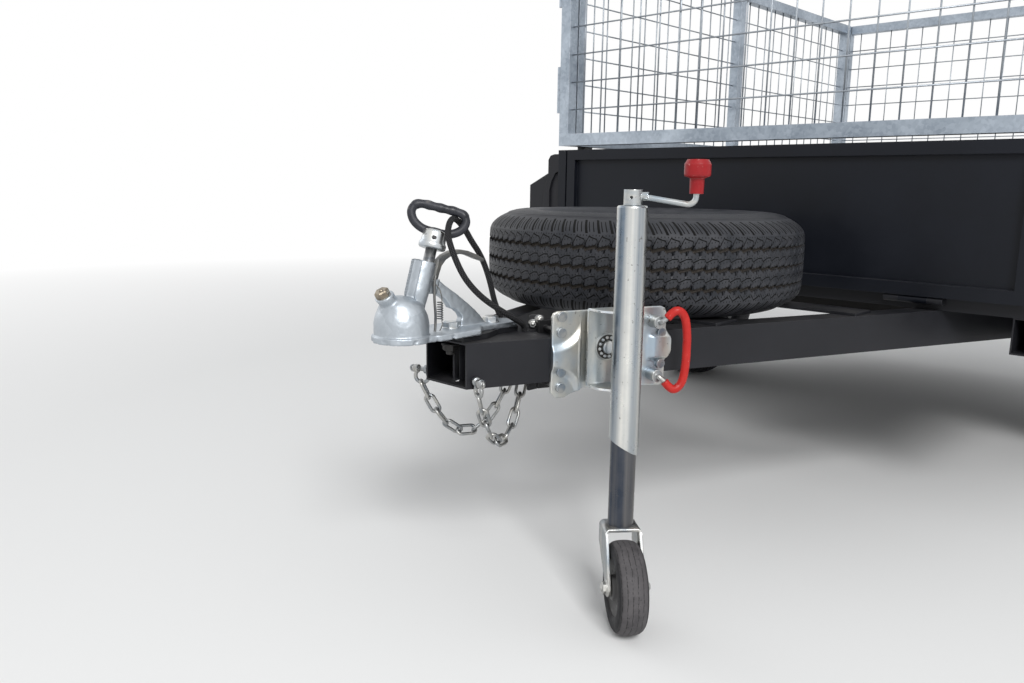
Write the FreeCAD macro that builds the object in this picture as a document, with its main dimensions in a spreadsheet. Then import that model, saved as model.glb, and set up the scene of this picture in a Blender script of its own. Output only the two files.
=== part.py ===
import FreeCAD, Part
import Sketcher
import math
import os
import re

# A single-axle box trailer with a mesh cage, parked on its jockey wheel. Millimetres, +Z up.
# The coupling points to -Y, +X is the trailer's left side, where the jockey wheel stands.
# The origin is on the ground, under the middle of the overall length.

os.makedirs("parts", exist_ok=True)
doc = FreeCAD.newDocument("UtilityTrailer")
sheet = doc.addObject("Spreadsheet::Sheet", "Sizes")

# Driving dimensions: name, value, what it is
SIZES = [
    ("seat_gap", 0.3, "clearance of a piece that rests on a round or moving one"),
    ("rail_width", 50, "box section of the drawbar and chassis rails"),
    ("rail_height", 75, "box section of the drawbar and chassis rails"),
    ("rail_wall", 3, "wall of that box section"),
    ("ride_height", 132, "top of the drawbar above the top of the road wheels' radius"),
    ("nose_width", 100, "width over the two drawbar members at the nose"),
    ("a_frame_angle", 20.7, "angle of each drawbar member to the centreline"),
    ("nose_to_body", 988, "from the nose back to the body's front face"),
    ("nose_sheet", 6, "plates that close the nose above and below"),
    ("nose_sheet_front", 40, "front edge of those plates behind the nose"),
    ("nose_sheet_back", 205, "rear edge of those plates behind the nose"),
    ("first_bolt", 10, "front bolt of the coupling behind the nose"),
    ("second_bolt", 101, "rear bolt of the coupling behind the nose"),
    ("nut_pocket", 15, "radius of the rounded notch for the front bolt's nut"),
    ("body_width", 1270, "over the side panels"),
    ("body_length", 1880, "over the front and rear faces"),
    ("body_height", 324, "from the sill to the top rails"),
    ("sill_rise", 28, "height of the cross members that carry the floor"),
    ("cross_width", 40, "width of those cross members"),
    ("skin", 2, "sheet steel of floor and panels"),
    ("panel_rail", 28, "square top and bottom rails of the panels"),
    ("panel_gap", 6, "clearance round a hinged panel"),
    ("hinge_radius", 8, "barrels of the body gates' hinges"),
    ("hinge_length", 60, "barrels of the body gates' hinges"),
    ("hinge_inset", 10, "hinge axis behind the gate's outer face"),
    ("knuckle_length", 30, "fixed knuckles beside each barrel"),
    ("post_size", 33, "square section of the cage posts and rails"),
    ("cage_lift", 12, "gap between the body's top rail and the cage"),
    ("cage_height", 577, "from the cage's lower rail to its top"),
    ("barrel_radius", 9, "lift-off hinge barrels of the cage gates"),
    ("barrel_half", 63, "length of each half of those barrels"),
    ("strap_plate", 6, "thickness of the straps that carry those hinges"),
    ("strap_reach", 80, "length of those straps"),
    ("barrel_low", 157, "joint of the lower hinge above the cage's foot"),
    ("barrel_high", 130, "joint of the upper hinge below the cage's top"),
    ("foot_length", 34, "steel blocks that carry the cage"),
    ("wire", 4, "thickness of the mesh bars"),
    ("wire_gap", 0.3, "gap between the two layers of mesh bars"),
    ("mesh_pitch_across", 62.5, "spacing of the upright mesh bars"),
    ("mesh_pitch_up", 75, "spacing of the level mesh bars"),
    ("tyre_radius", 333, "road wheels and spare"),
    ("tyre_width", 195, "road wheels and spare"),
    ("tread_drop", 9, "how far the shoulders fall below the crown"),
    ("rim_radius", 178, "14 inch rim"),
    ("rim_width", 150, "14 inch rim"),
    ("rim_wall", 4, "thickness of rim and disc"),
    ("flange_rise", 12, "rim flange above the bead seat"),
    ("well_depth", 32, "drop centre of the rim"),
    ("disc_offset", 12, "wheel disc's face inboard of the wheel's middle"),
    ("hub_radius", 34, "hub barrel"),
    ("hub_length", 96, "hub barrel"),
    ("hub_flange", 8, "thickness of the hub's stud flange"),
    ("stud_circle", 57, "radius of the wheel stud circle"),
    ("stud_radius", 6, "wheel studs"),
    ("nut_across", 11, "radius over the corners of a wheel nut"),
    ("nut_height", 14, "wheel nuts"),
    ("tyre_to_body", 24, "gap between tyre and side panel"),
    ("axle_back", 980, "axle behind the body's front face"),
    ("axle_size", 45, "square axle beam"),
    ("spring_width", 45, "leaf spring"),
    ("leaf", 7, "thickness of one leaf"),
    ("spring_half", 330, "half the length between the spring's eyes"),
    ("spring_rise", 36, "height of the eyes above the middle of the main leaf"),
    ("eye_radius", 15, "outside of a spring eye"),
    ("hanger_plate", 6, "plates of the spring hangers"),
    ("clip_radius", 6, "U-bolts that clip the axle to its springs"),
    ("clip_plate", 8, "plates under the springs"),
    ("guard_gap", 52, "clearance between tyre and mudguard"),
    ("guard_width", 225, "mudguard"),
    ("guard_sheet", 2, "mudguard"),
    ("guard_lip", 22, "outer lip of the mudguard"),
    ("spare_back", 618, "middle of the spare wheel behind the nose"),
    ("spare_aside", 60, "middle of the spare wheel to the right of the centreline"),
    ("spare_lift", 6, "plates under the spare wheel"),
    ("coupling_reach", 148, "coupling's foremost point ahead of the nose"),
    ("rim_reach", 51, "radius of the coupling's round front flange"),
    ("dome_radius", 47, "ball housing of the coupling"),
    ("dome_middle", 34, "centre of the housing's dome above the flange's underside"),
    ("ball_radius", 25, "tow ball"),
    ("ball_centre", 20, "tow ball's centre above the flange's underside"),
    ("socket_gap", 0.5, "clearance of the coupling's socket on the tow ball"),
    ("flange_thick", 12, "coupling's base flange"),
    ("flange_half", 46, "half the width of the flange's broad part"),
    ("tail_half", 22, "half the width of the flange's tail"),
    ("tail_back", 152, "rear end of the flange's tail behind the nose"),
    ("web_thick", 14, "coupling's upright web"),
    ("barrel_lean", 17, "lean of the coupling's barrel and spindle"),
    ("housing_radius", 16.5, "coupling's leaning barrel"),
    ("housing_length", 95, "that barrel from its foot inside the dome"),
    ("boss_radius", 16, "screw boss on the front of the dome"),
    ("boss_length", 56, "that boss from the dome's centre"),
    ("boss_lean", 30, "lean of that boss"),
    ("boss_screw", 11.6, "radius over the corners of the boss's screw"),
    ("boss_screw_rise", 10, "height of that screw's head"),
    ("spindle_radius", 6.3, "coupling spindle"),
    ("spindle_shift", 8, "spindle's axis behind the barrel's axis"),
    ("spindle_length", 62, "spindle above the barrel"),
    ("grip_hub_radius", 16, "hub of the coupling's handle"),
    ("grip_hub_length", 27, "hub of the coupling's handle"),
    ("grip_width", 100, "over the handle's ring"),
    ("grip_height", 55, "over the handle's ring"),
    ("grip_radius", 6.3, "section of the handle's ring"),
    ("grip_heading", 52, "direction of the handle's long way"),
    ("bolt_radius", 8, "coupling bolts"),
    ("bolt_across", 13.9, "radius over the corners of a coupling bolt's head"),
    ("bolt_head", 10, "height of a coupling bolt's head and nut"),
    ("jockey_station", 235, "jockey tube along the drawbar member from the nose corner"),
    ("jockey_out", 103, "jockey tube's axis from the member's outer face"),
    ("pivot_drop", 17, "swing pivot below the drawbar's top"),
    ("pivot_shift", 12, "swing pivot behind the jockey tube along the member"),
    ("pivot_boss", 22, "radius of the boss that the channel turns on"),
    ("pivot_pin", 10, "radius of the pin's head in that boss"),
    ("strap_station", 167, "inner clamp strap along the member"),
    ("strap_width", 26, "inner clamp strap"),
    ("clamp_plate", 6, "thickness of the jockey clamp plate"),
    ("clamp_front", 150, "front edge of the clamp plate along the member"),
    ("clamp_rear", 377, "rear edge of the clamp plate along the member"),
    ("clamp_top", 45, "top of the clamp plate above the drawbar"),
    ("clamp_low", 103, "lowest point of the clamp plate below the drawbar's top"),
    ("clamp_bolt", 5, "bolts of the clamp plate"),
    ("clamp_head", 8.5, "domed heads of those bolts"),
    ("clamp_dome", 5, "height of those heads"),
    ("channel_width", 70, "channel that carries the jockey tube"),
    ("channel_half", 67, "half the height of that channel"),
    ("channel_web", 5, "web of the channel"),
    ("channel_flange", 4, "flanges of the channel"),
    ("channel_out", 16, "channel's web from the member's outer face"),
    ("collar_station", 347, "collars of the release bail along the member"),
    ("collar_radius", 11, "collars of the release bail"),
    ("collar_length", 24, "collars of the release bail"),
    ("bail_radius", 7.4, "red sleeve of the release bail"),
    ("bail_wire", 4.5, "steel wire inside that sleeve"),
    ("tube_radius", 24.15, "jockey outer tube"),
    ("tube_wall", 2.6, "jockey outer tube"),
    ("inner_radius", 21.1, "jockey inner tube"),
    ("inner_wall", 2.5, "jockey inner tube"),
    ("tube_rise", 221, "top of the outer tube above the drawbar"),
    ("tube_fall", 180, "lower end of the outer tube below the drawbar's top"),
    ("leg_top_drop", 125, "top of the inner tube below that of the outer tube"),
    ("tube_slant", 30, "slope of the outer tube's lower end"),
    ("fork_top", 164, "top of the fork's strap above the ground"),
    ("fork_trail", 50, "jockey wheel's axle behind the swivel"),
    ("fork_turn", -40, "heading of the jockey wheel's trail"),
    ("fork_strap", 5, "thickness of the fork"),
    ("fork_half", 22, "half the width of the fork's straps"),
    ("fork_space", 2, "clearance of the wheel on each side in its fork"),
    ("small_wheel_radius", 75, "jockey wheel"),
    ("small_wheel_width", 48, "jockey wheel"),
    ("small_axle", 6, "jockey wheel's axle bolt"),
    ("crank_heading", 26, "direction of the crank"),
    ("crank_reach", 96, "crank from the tube's axis to the knob's axis"),
    ("crank_radius", 4.5, "crank rod"),
    ("crank_hub_radius", 14.5, "crank hub"),
    ("crank_hub_height", 24, "crank hub"),
    ("knob_radius", 20, "head of the red knob"),
    ("knob_neck", 10.5, "neck of the red knob"),
    ("lamp_depth", 26, "tail lamps behind the body"),
    ("lamp_width", 100, "tail lamps"),
    ("lamp_height", 80, "tail lamps and their plate"),
    ("ear_plate", 5, "plates at the body's front corners"),
    ("link_wire", 6, "safety chain"),
    ("link_length", 33, "outside length of one link"),
    ("link_width", 19, "outside width of one link"),
    ("chain_links", 13, "links in each chain"),
    ("shackle_wire", 3.2, "radius of the chain shackles' bow"),
    ("shackle_gap", 18, "between the legs of a shackle, centre to centre"),
    ("hang_back", 165, "bar that holds the chains' ends, behind the nose"),
    ("hang_drop", 18, "that bar below the drawbar"),
    ("hang_half", 40, "half the width over that bar's lugs"),
    ("shackle_drop", 24, "from a shackle's pin to the bottom of its bow"),
    ("lead_radius", 5, "black braided lead"),
]
for row, (alias, value, note) in enumerate(SIZES, 1):
    sheet.set(f"A{row}", alias)
    sheet.set(f"B{row}", str(value))
    sheet.set(f"C{row}", note)
    sheet.setAlias(f"B{row}", alias)
doc.recompute()
NAMES = {alias for alias, value, note in SIZES}


# Heights above the ground that follow from the sizes
LEVELS = {
    "drawbar_top": "(tyre_radius + ride_height)",
    "tube_top": "(tyre_radius + ride_height + tube_rise)",
    "tube_bottom": "(tyre_radius + ride_height - tube_fall)",
}


def bound(text):
    """An expression in which each size's name points at its cell of the sheet."""
    text = re.sub("|".join(LEVELS), lambda word: LEVELS[word[0]], str(text))
    return re.sub(r"[a-z_]+", lambda word: "Sizes." + word[0] if word[0] in NAMES else word[0], text)


def val(text):
    """The number that an expression gives now."""
    return float(sheet.evalExpression(bound(text)))


def bind(thing, **properties):
    for name, text in properties.items():
        thing.setExpression(name.replace("_", "."), bound(text))


def place(thing, at, turn="0"):
    """A piece's place, and its turn about the vertical or about the axis that it has already."""
    x, y, z = at
    bind(thing, Placement_Base_x=x, Placement_Base_y=y, Placement_Base_z=z, Placement_Rotation_Angle=turn)


def tilt_axis(thing, axis):
    thing.Placement.Rotation = FreeCAD.Rotation(FreeCAD.Vector(*axis), 30)


def block(name, centre, lengths, turn="0"):
    """A box about its centre, turned about the vertical."""
    thing = doc.addObject("Part::Box", name)
    x, y, z = centre
    a, b, c = lengths
    bind(thing, Length=a, Width=b, Height=c)
    corner = (f"({x}) - ({a}) / 2 * cos({turn}) + ({b}) / 2 * sin({turn})",
              f"({y}) - ({a}) / 2 * sin({turn}) - ({b}) / 2 * cos({turn})", f"({z}) - ({c}) / 2")
    place(thing, corner, turn)
    return thing


def rod(name, centre, radius, length, heading=None):
    """A cylinder about its centre: upright, or level and pointing along a heading."""
    thing = doc.addObject("Part::Cylinder", name)
    x, y, z = centre
    bind(thing, Radius=radius, Height=length)
    if heading is None:
        place(thing, (x, y, f"({z}) - ({length}) / 2"))
        return thing
    tilt_axis(thing, (0, 1, 0))
    place(thing, (f"({x}) - ({length}) / 2 * cos({heading})", f"({y}) - ({length}) / 2 * sin({heading})",
                  z), "90")
    bind(thing, Placement_Rotation_Axis_x=f"-sin({heading})", Placement_Rotation_Axis_y=f"cos({heading})")
    return thing


def leaning(name, foot, radius, length, lean):
    """A cylinder from its foot, upright and then leant towards the rear."""
    thing = doc.addObject("Part::Cylinder", name)
    bind(thing, Radius=radius, Height=length)
    tilt_axis(thing, (-1, 0, 0))
    place(thing, foot, lean)
    return thing


def hexagon(name, foot, radius, height, lean="0"):
    """A hexagonal head or nut from its seat upwards."""
    thing = doc.addObject("Part::Prism", name)
    thing.Polygon = 6
    bind(thing, Circumradius=radius, Height=height)
    tilt_axis(thing, (-1, 0, 0))
    place(thing, foot, lean)
    return thing


def level_nut(name, seat, radius, height, side):
    """A hexagonal nut on the trailer's left (1) or right (-1) face of a wheel."""
    thing = doc.addObject("Part::Prism", name)
    thing.Polygon = 6
    bind(thing, Circumradius=radius, Height=height)
    tilt_axis(thing, (0, 1, 0))
    place(thing, seat, f"{side} * 90")
    return thing


def fuse(name, things):
    joined = doc.addObject("Part::MultiFuse", name)
    joined.Shapes = things
    joined.Refine = True
    return joined


def cut(name, base, tool):
    result = doc.addObject("Part::Cut", name)
    result.Base = base
    result.Tool = tool
    return result


def group(name, things):
    """Like pieces that don't touch, in one node."""
    kept = doc.addObject("Part::Compound", name)
    kept.Links = things
    return kept


def solid(name, shape):
    """A piece made with the kernel's own functions."""
    thing = doc.addObject("Part::Feature", name)
    thing.Shape = shape
    return thing


def tube(name, centre, lengths, wall, along, turn="0"):
    """A box section, open at the two ends of its long way."""
    inner = [f"({size}) - 2 * ({wall})" for size in lengths]
    inner[along] = f"({lengths[along]}) + 2 * ({wall})"
    return cut(name, block(name + "_outside", centre, lengths, turn),
               block(name + "_inside", centre, inner, turn))


def drawing(body, plane, corners):
    """A closed outline on one of the body's own planes, each corner held by two dimensions."""
    outline = body.newObject("Sketcher::SketchObject", body.Name + "_outline")
    origin = next(item for item in body.Origin.OriginFeatures if item.Role == plane)
    outline.AttachmentSupport = [(origin, "")]
    outline.MapMode = "FlatFace"
    spots = [FreeCAD.Vector(val(across), val(up), 0) for across, up in corners]
    count = len(spots)
    outline.addGeometry([Part.LineSegment(spots[i], spots[(i + 1) % count]) for i in range(count)], False)
    for i in range(count):
        outline.addConstraint(Sketcher.Constraint("Coincident", i, 2, (i + 1) % count, 1))
    for i, texts in enumerate(corners):
        for kind, text in zip(("DistanceX", "DistanceY"), texts):
            number = outline.addConstraint(Sketcher.Constraint(kind, -1, 1, i, 1, val(text)))
            outline.setExpression(f"Constraints[{number}]", bound(text))
    return outline


def padded(name, plane, corners, thickness):
    """A plate: an outline padded evenly to both sides of its plane."""
    body = doc.addObject("PartDesign::Body", name)
    pad = body.newObject("PartDesign::Pad", name + "_pad")
    pad.Profile = drawing(body, plane, corners)
    pad.SideType = "Symmetric"
    bind(pad, Length=thickness)
    return body


def turned(name, plane, corners, axis, angle=360):
    """A piece turned from half of its section."""
    body = doc.addObject("PartDesign::Body", name)
    revolution = body.newObject("PartDesign::Revolution", name + "_revolution")
    outline = drawing(body, plane, corners)
    revolution.Profile = outline
    revolution.ReferenceAxis = (outline, [axis])
    revolution.Angle = angle
    return body


def rounded_path(points, radii):
    """Straight runs joined by tangent arcs; returns the wire and its length."""
    edges, at, total = [], points[0], 0.0
    for i in range(1, len(points) - 1):
        back = (points[i - 1] - points[i]).normalize()
        ahead = (points[i + 1] - points[i]).normalize()
        half = (math.pi - back.getAngle(ahead)) / 2
        reach = radii[i - 1] * math.tan(half)
        start, end = points[i] + back * reach, points[i] + ahead * reach
        middle = points[i] + (back + ahead).normalize() * (radii[i - 1] / math.cos(half) - radii[i - 1])
        edges.append(Part.LineSegment(at, start).toShape())
        edges.append(Part.Arc(start, middle, end).toShape())
        at = end
    edges.append(Part.LineSegment(at, points[-1]).toShape())
    path = Part.Wire(edges)
    return path, path.Length


def bent_rod(points, radius, radii):
    """A round bar or lead along runs and arcs."""
    path, length = rounded_path(points, radii)
    section = Part.Wire(Part.Circle(points[0], points[1] - points[0], radius).toShape())
    bar = path.makePipeShell([section], True, False)
    if abs(bar.Volume / (math.pi * radius * radius * length) - 1) > 0.01:
        raise RuntimeError(f"a bent bar's volume doesn't match its length: {bar.Volume:.0f}")
    return bar


def settled(shape, centre, rotation=None):
    """A copy of a shape at its place."""
    moved = shape.copy()
    moved.Placement = FreeCAD.Placement(centre, rotation or FreeCAD.Rotation())
    return moved


SIDES = (("left", 1), ("right", -1))
nodes = {}


def node(label, thing):
    thing.Label = label
    nodes[label] = thing
    return thing


# Main levels and stations
MIDDLE = "((nose_to_body + body_length + lamp_depth) - coupling_reach) / 2"
NOSE = f"(-({MIDDLE}))"
BODY_FRONT = f"(nose_to_body - {MIDDLE})"
BODY_REAR = f"(nose_to_body + body_length - {MIDDLE})"
BODY_Y = f"({BODY_FRONT} + {BODY_REAR}) / 2"
SILL = "(drawbar_top + sill_rise)"
BODY_TOP = f"({SILL} + body_height)"
CAGE_BASE = f"({BODY_TOP} + cage_lift)"
CAGE_TOP = f"({CAGE_BASE} + cage_height)"
CAGE_MIDDLE = f"({CAGE_TOP} + {CAGE_BASE}) / 2"
AXLE_Y = f"({BODY_FRONT} + axle_back)"
TYRE_X = "(body_width / 2 + tyre_to_body + tyre_width / 2)"
OUTWARD = "-a_frame_angle"


def on_member(side, along, out, up):
    """A point given along a drawbar member, out from its outer face, and up from its top."""
    return (f"{side} * (nose_width / 2 + ({along}) * sin(a_frame_angle) + ({out}) * cos(a_frame_angle))",
            f"{NOSE} + ({along}) * cos(a_frame_angle) - ({out}) * sin(a_frame_angle)",
            f"drawbar_top + ({up})")


def at_nose(x, back, up):
    """A point given across, behind the nose, and up from the drawbar's top."""
    return (str(x), f"{NOSE} + ({back})", f"drawbar_top + ({up})")


def spot(texts):
    return FreeCAD.Vector(*(val(text) for text in texts))


# Drawbar: two box members that meet at the open nose and run under the body to the chassis rails. The
# coupling's front bolt goes through their top walls, and their inner walls make room for its nut
BOLT_HOLE = "bolt_radius + seat_gap"
RAIL_X = "(body_width / 2 - rail_width / 2 - panel_rail / 2)"
MEMBER_LENGTH = f"(({RAIL_X} - rail_width / 2 - nose_width / 2) / sin(a_frame_angle))"
for name, side in SIDES:
    member = tube(f"member_{name}", on_member(side, f"{MEMBER_LENGTH} / 2", "-rail_width / 2",
                                              "-rail_height / 2"),
                  ("rail_width", f"{MEMBER_LENGTH} + 4 * rail_width", "rail_height"),
                  "rail_wall", 1, f"{-side} * a_frame_angle")
    space = block(f"space_{name}", (f"{side} * {RAIL_X} / 2 - {side} * rail_width / 4",
                  f"{NOSE} + {MEMBER_LENGTH} / 2", "drawbar_top - rail_height / 2"),
                  (f"{RAIL_X} - rail_width / 2", MEMBER_LENGTH, "2 * rail_height"))
    trimmed = doc.addObject("Part::Common", f"drawbar_trimmed_{name}")
    trimmed.Base = member
    trimmed.Tool = space
    room = group(f"front_bolt_room_{name}", [
        rod(f"front_bolt_hole_{name}", at_nose(0, "first_bolt", "0"), BOLT_HOLE, "2 * rail_wall + 1"),
        rod(f"front_nut_room_{name}", at_nose(0, "first_bolt", "-rail_height / 2"), "nut_pocket",
            "rail_height - 2 * rail_wall")])
    node(f"drawbar_{name}", cut(f"drawbar_{name}", trimmed, room))

# Plates that close the nose between the members: the coupling is bolted to the upper one, and a bar on two
# lugs under the lower one holds the free ends of the safety chains
INNER_SLOPE = "tan(a_frame_angle)"
INNER_START = "(nose_width / 2 - rail_width / cos(a_frame_angle))"
plates = []
for name, top in (("upper", "0"), ("lower", "nose_sheet - rail_height")):
    corners = []
    for side, back in ((1, "nose_sheet_front"), (1, "nose_sheet_back"), (-1, "nose_sheet_back"),
                       (-1, "nose_sheet_front")):
        corners.append((f"{side} * ({INNER_START} + {back} * {INNER_SLOPE})", f"{NOSE} + {back}"))
    plate = padded(f"nose_sheet_{name}", "XY_Plane", corners, "nose_sheet")
    place(plate, ("0", "0", f"drawbar_top + ({top}) - nose_sheet / 2"))
    plates.append(plate)
room = [rod("nose_hole", at_nose(0, "second_bolt", "-nose_sheet / 2"), BOLT_HOLE, "4 * nose_sheet"),
        block("strap_notch", on_member(1, "strap_station", "-rail_width", "-rail_height / 2"),
              ("2 * (clamp_plate + seat_gap)", "strap_width + 2 * seat_gap", "2 * rail_height"), OUTWARD)]
lugs = [block(f"chain_lug_{side + 1}", (f"{side} * hang_half", f"{NOSE} + hang_back",
        "drawbar_top - rail_height - (hang_drop + 10) / 2"),
        ("nose_sheet", "20", "hang_drop + 10")) for side in (-1, 1)]
chain_bar = rod("chain_bar", ("0", f"{NOSE} + hang_back", "drawbar_top - rail_height - hang_drop"),
                "shackle_wire",
                "2 * hang_half", "0")
lower = fuse("nose_sheet_hanger", [plates[1], chain_bar] + lugs)
node("nose_plates", cut("nose_plates", group("nose_sheets", [plates[0], lower]), fuse("nose_room", room)))

# Chassis: a rail under each side and cross members that carry the floor
rails = [tube(f"rail_{name}", (f"{side} * {RAIL_X}", BODY_Y, "drawbar_top - rail_height / 2"),
              ("rail_width", "body_length - 2 * panel_rail", "rail_height"), "rail_wall", 1)
         for name, side in SIDES]
node("chassis_rails", group("chassis_rails", rails))
CROSS_COUNT = 5
CROSS_STEP = f"(body_length - 2 * panel_rail - cross_width) / {CROSS_COUNT - 1}"
crosses = [block(f"cross_{i}", ("0", f"{BODY_FRONT} + panel_rail + cross_width / 2 + {i} * {CROSS_STEP}",
                 "drawbar_top + sill_rise / 2"), ("body_width - panel_rail", "cross_width", "sill_rise"))
           for i in range(CROSS_COUNT)]
node("floor_cross_members", group("floor_cross_members", crosses))
node("floor_sheet", block("floor_sheet", ("0", BODY_Y, f"{SILL} + skin / 2"),
     ("body_width - 2 * panel_rail", "body_length - 2 * panel_rail - 2 * panel_gap", "skin")))

# Side panels: pressed sheet with square rails along the top and bottom and four uprights
SIDE_POSTS = ("0", "0.33", "0.67", "1")
for name, side in SIDES:
    x = f"{side} * (body_width / 2 - panel_rail / 2)"
    level = f"{SILL} + body_height / 2"
    pieces = [
        block(f"side_top_{name}", (x, BODY_Y, f"{BODY_TOP} - panel_rail / 2"),
              ("panel_rail", "body_length", "panel_rail")),
        block(f"side_low_{name}", (x, BODY_Y, f"{SILL} + panel_rail / 2"),
              ("panel_rail", "body_length", "panel_rail")),
        block(f"side_skin_{name}", (x, BODY_Y, level), ("skin", "body_length", "body_height")),
    ]
    for i, share in enumerate(SIDE_POSTS):
        along = f"{BODY_FRONT} + panel_rail / 2 + {share} * (body_length - panel_rail)"
        pieces.append(block(f"side_post_{name}_{i}", (x, along, level),
                            ("panel_rail", "panel_rail", "body_height")))
    node(f"side_panel_{name}", fuse(f"side_panel_{name}", pieces))

# Drop gates at the front and rear, with hinge barrels under their lower rails
HINGE_PLACES = ("-0.3", "0", "0.3")
HINGE_Z = f"({SILL} - hinge_radius + skin / 2)"
ENDS = (("front", "front_gate", BODY_FRONT, -1), ("rear", "tailgate", BODY_REAR, 1))
for end, label, edge, out in ENDS:
    width = "(body_width - 2 * panel_rail - 2 * panel_gap)"
    y = f"({edge} - {out} * panel_rail / 2)"
    base = f"({SILL} + skin / 2)"
    height = f"({BODY_TOP} - {base})"
    level = f"({BODY_TOP} + {base}) / 2"
    pieces = [
        block(label + "_top", ("0", y, f"{BODY_TOP} - panel_rail / 2"), (width, "panel_rail", "panel_rail")),
        block(label + "_low", ("0", y, f"{base} + panel_rail / 2"), (width, "panel_rail", "panel_rail")),
        block(label + "_skin", ("0", y, level), (width, "skin", height)),
    ]
    for side in (-1, 1):
        pieces.append(block(f"{label}_end_{side + 1}",
                            (f"{side} * ({width} / 2 - panel_rail / 2)", y, level),
                      ("panel_rail", "panel_rail", height)))
    for i, share in enumerate(HINGE_PLACES):
        pieces.append(rod(f"{label}_barrel_{i}",
                          (f"{share} * body_width", f"{edge} - {out} * hinge_inset", HINGE_Z),
                      "hinge_radius", "hinge_length", "0"))
    node(label, fuse(label, pieces))

# Fixed knuckles on both sides of each barrel, each with a lug to the sill
knuckles = []
for end, label, edge, out in ENDS:
    for i, share in enumerate(HINGE_PLACES):
        for side in (-1, 1):
            x = f"{share} * body_width + {side} * (hinge_length / 2 + seat_gap + knuckle_length / 2)"
            key = f"{end}_{i}_{side + 1}"
            barrel = rod(f"knuckle_{key}", (x, f"{edge} - {out} * hinge_inset", HINGE_Z),
                         "hinge_radius", "knuckle_length", "0")
            lug = block(f"lug_{key}", (x, f"{edge} - {out} * (hinge_inset + panel_rail) / 2",
                                       f"{HINGE_Z} - skin"),
                        ("knuckle_length", "panel_rail - hinge_inset", "hinge_radius + skin"))
            knuckles.append(fuse(f"knuckle_joined_{key}", [barrel, lug]))
node("gate_knuckles", group("gate_knuckles", knuckles))

# Wheels: light truck tyres on pressed rims, turned about their own axis
BEAD = "(rim_width / 2 - rim_wall)"
FLANGE_TOP = "rim_radius + flange_rise"
SHOULDER = "0.76 * tyre_width / 2"
WIDEST = "(tyre_radius + rim_radius) / 2"
HALF_TYRE = [
    ("0", "tyre_radius"), (SHOULDER, "tyre_radius - tread_drop / 3"),
    (f"{SHOULDER} + 12", "tyre_radius - tread_drop"),
    (f"{SHOULDER} + 20", "tyre_radius - 3 * tread_drop"), ("tyre_width / 2", WIDEST),
    ("0.96 * tyre_width / 2", f"{WIDEST} - 30"), (BEAD, FLANGE_TOP), (BEAD, "rim_radius"),
]
TYRE = HALF_TYRE + [(f"-({across})", up) for across, up in reversed(HALF_TYRE[1:])]
FACE = "-disc_offset"
BORE = "hub_radius + rim_wall / 2"
WELL = "rim_radius - well_depth"
RIM = [
    ("-rim_width / 2", FLANGE_TOP), (f"-{BEAD}", FLANGE_TOP), (f"-{BEAD}", "rim_radius"),
    ("-rim_width / 4", "rim_radius - 2"), ("-rim_width / 4 + 12", WELL), ("rim_width / 4 - 12", WELL),
    ("rim_width / 4", "rim_radius - 2"), (BEAD, "rim_radius"), (BEAD, FLANGE_TOP),
    ("rim_width / 2", FLANGE_TOP),
    ("rim_width / 2", "rim_radius - rim_wall"), ("rim_width / 4", "rim_radius - 2 - rim_wall"),
    ("rim_width / 4 - 10", f"{WELL} - rim_wall"), (f"{FACE} + rim_wall", f"{WELL} - rim_wall"),
    (f"{FACE} + rim_wall + 14", "stud_circle + 52"), (f"{FACE} + rim_wall", "stud_circle + 20"),
    (f"{FACE} + rim_wall", BORE), (FACE, BORE), (FACE, "stud_circle + 20"),
    (f"{FACE} + 14", "stud_circle + 52"),
    (FACE, f"{WELL} - rim_wall - 6"), (f"{FACE} - 8", f"{WELL} - rim_wall"),
    ("-rim_width / 4 + 10", f"{WELL} - rim_wall"), ("-rim_width / 4", "rim_radius - 2 - rim_wall"),
    ("-rim_width / 2", "rim_radius - rim_wall"),
]
STUDS = [f"{72 * i + 18}" for i in range(5)]


def wheel(name, at, axis, angle):
    """One tyre and its rim, with the wheel's outer side along +X before it is turned."""
    for label, corners in ((f"{name[0]}", TYRE), (f"{name[1]}", RIM)):
        body = turned(label + "_body", "XZ_Plane", corners, "H_Axis")
        tilt_axis(body, axis)
        place(body, at, angle)
        if corners is TYRE:
            node(label, body)
            continue
        stud_holes = []
        for i, turn in enumerate(STUDS):
            hole = rod(f"{label}_hole_{i}",
                       (FACE, f"stud_circle * cos({turn})", f"stud_circle * sin({turn})"),
                       "stud_radius + seat_gap", "6 * rim_wall", "0")
            stud_holes.append(hole)
        drill = group(f"{label}_holes", stud_holes)
        tilt_axis(drill, axis)
        place(drill, at, angle)
        node(label, cut(label, body, drill))


for name, side in SIDES:
    at = (f"{side} * {TYRE_X}", AXLE_Y, "tyre_radius")
    wheel((f"tyre_{name}", f"rim_{name}"), at, (0, 0, 1), "0" if side > 0 else "180")
    inboard = f"{side} * ({TYRE_X} - disc_offset - hub_flange / 2)"
    pieces = [rod(f"hub_barrel_{name}", at, "hub_radius", "hub_length", "0"),
              rod(f"hub_flange_{name}", (inboard, AXLE_Y, "tyre_radius"), "stud_circle + 11", "hub_flange",
                  "0")]
    for i, turn in enumerate(STUDS):
        y = f"{AXLE_Y} + {side} * stud_circle * cos({turn})"
        z = f"tyre_radius + stud_circle * sin({turn})"
        x = f"{side} * ({TYRE_X} - disc_offset)"
        pieces.append(rod(f"stud_{name}_{i}", (f"{x} + {side} * 8", y, z), "stud_radius", "32", "0"))
        pieces.append(level_nut(f"nut_{name}_{i}", (f"{x} + {side} * (rim_wall + seat_gap)", y, z),
                                "nut_across",
                      "nut_height", side))
    node(f"hub_{name}", fuse(f"hub_{name}", pieces))

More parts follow.
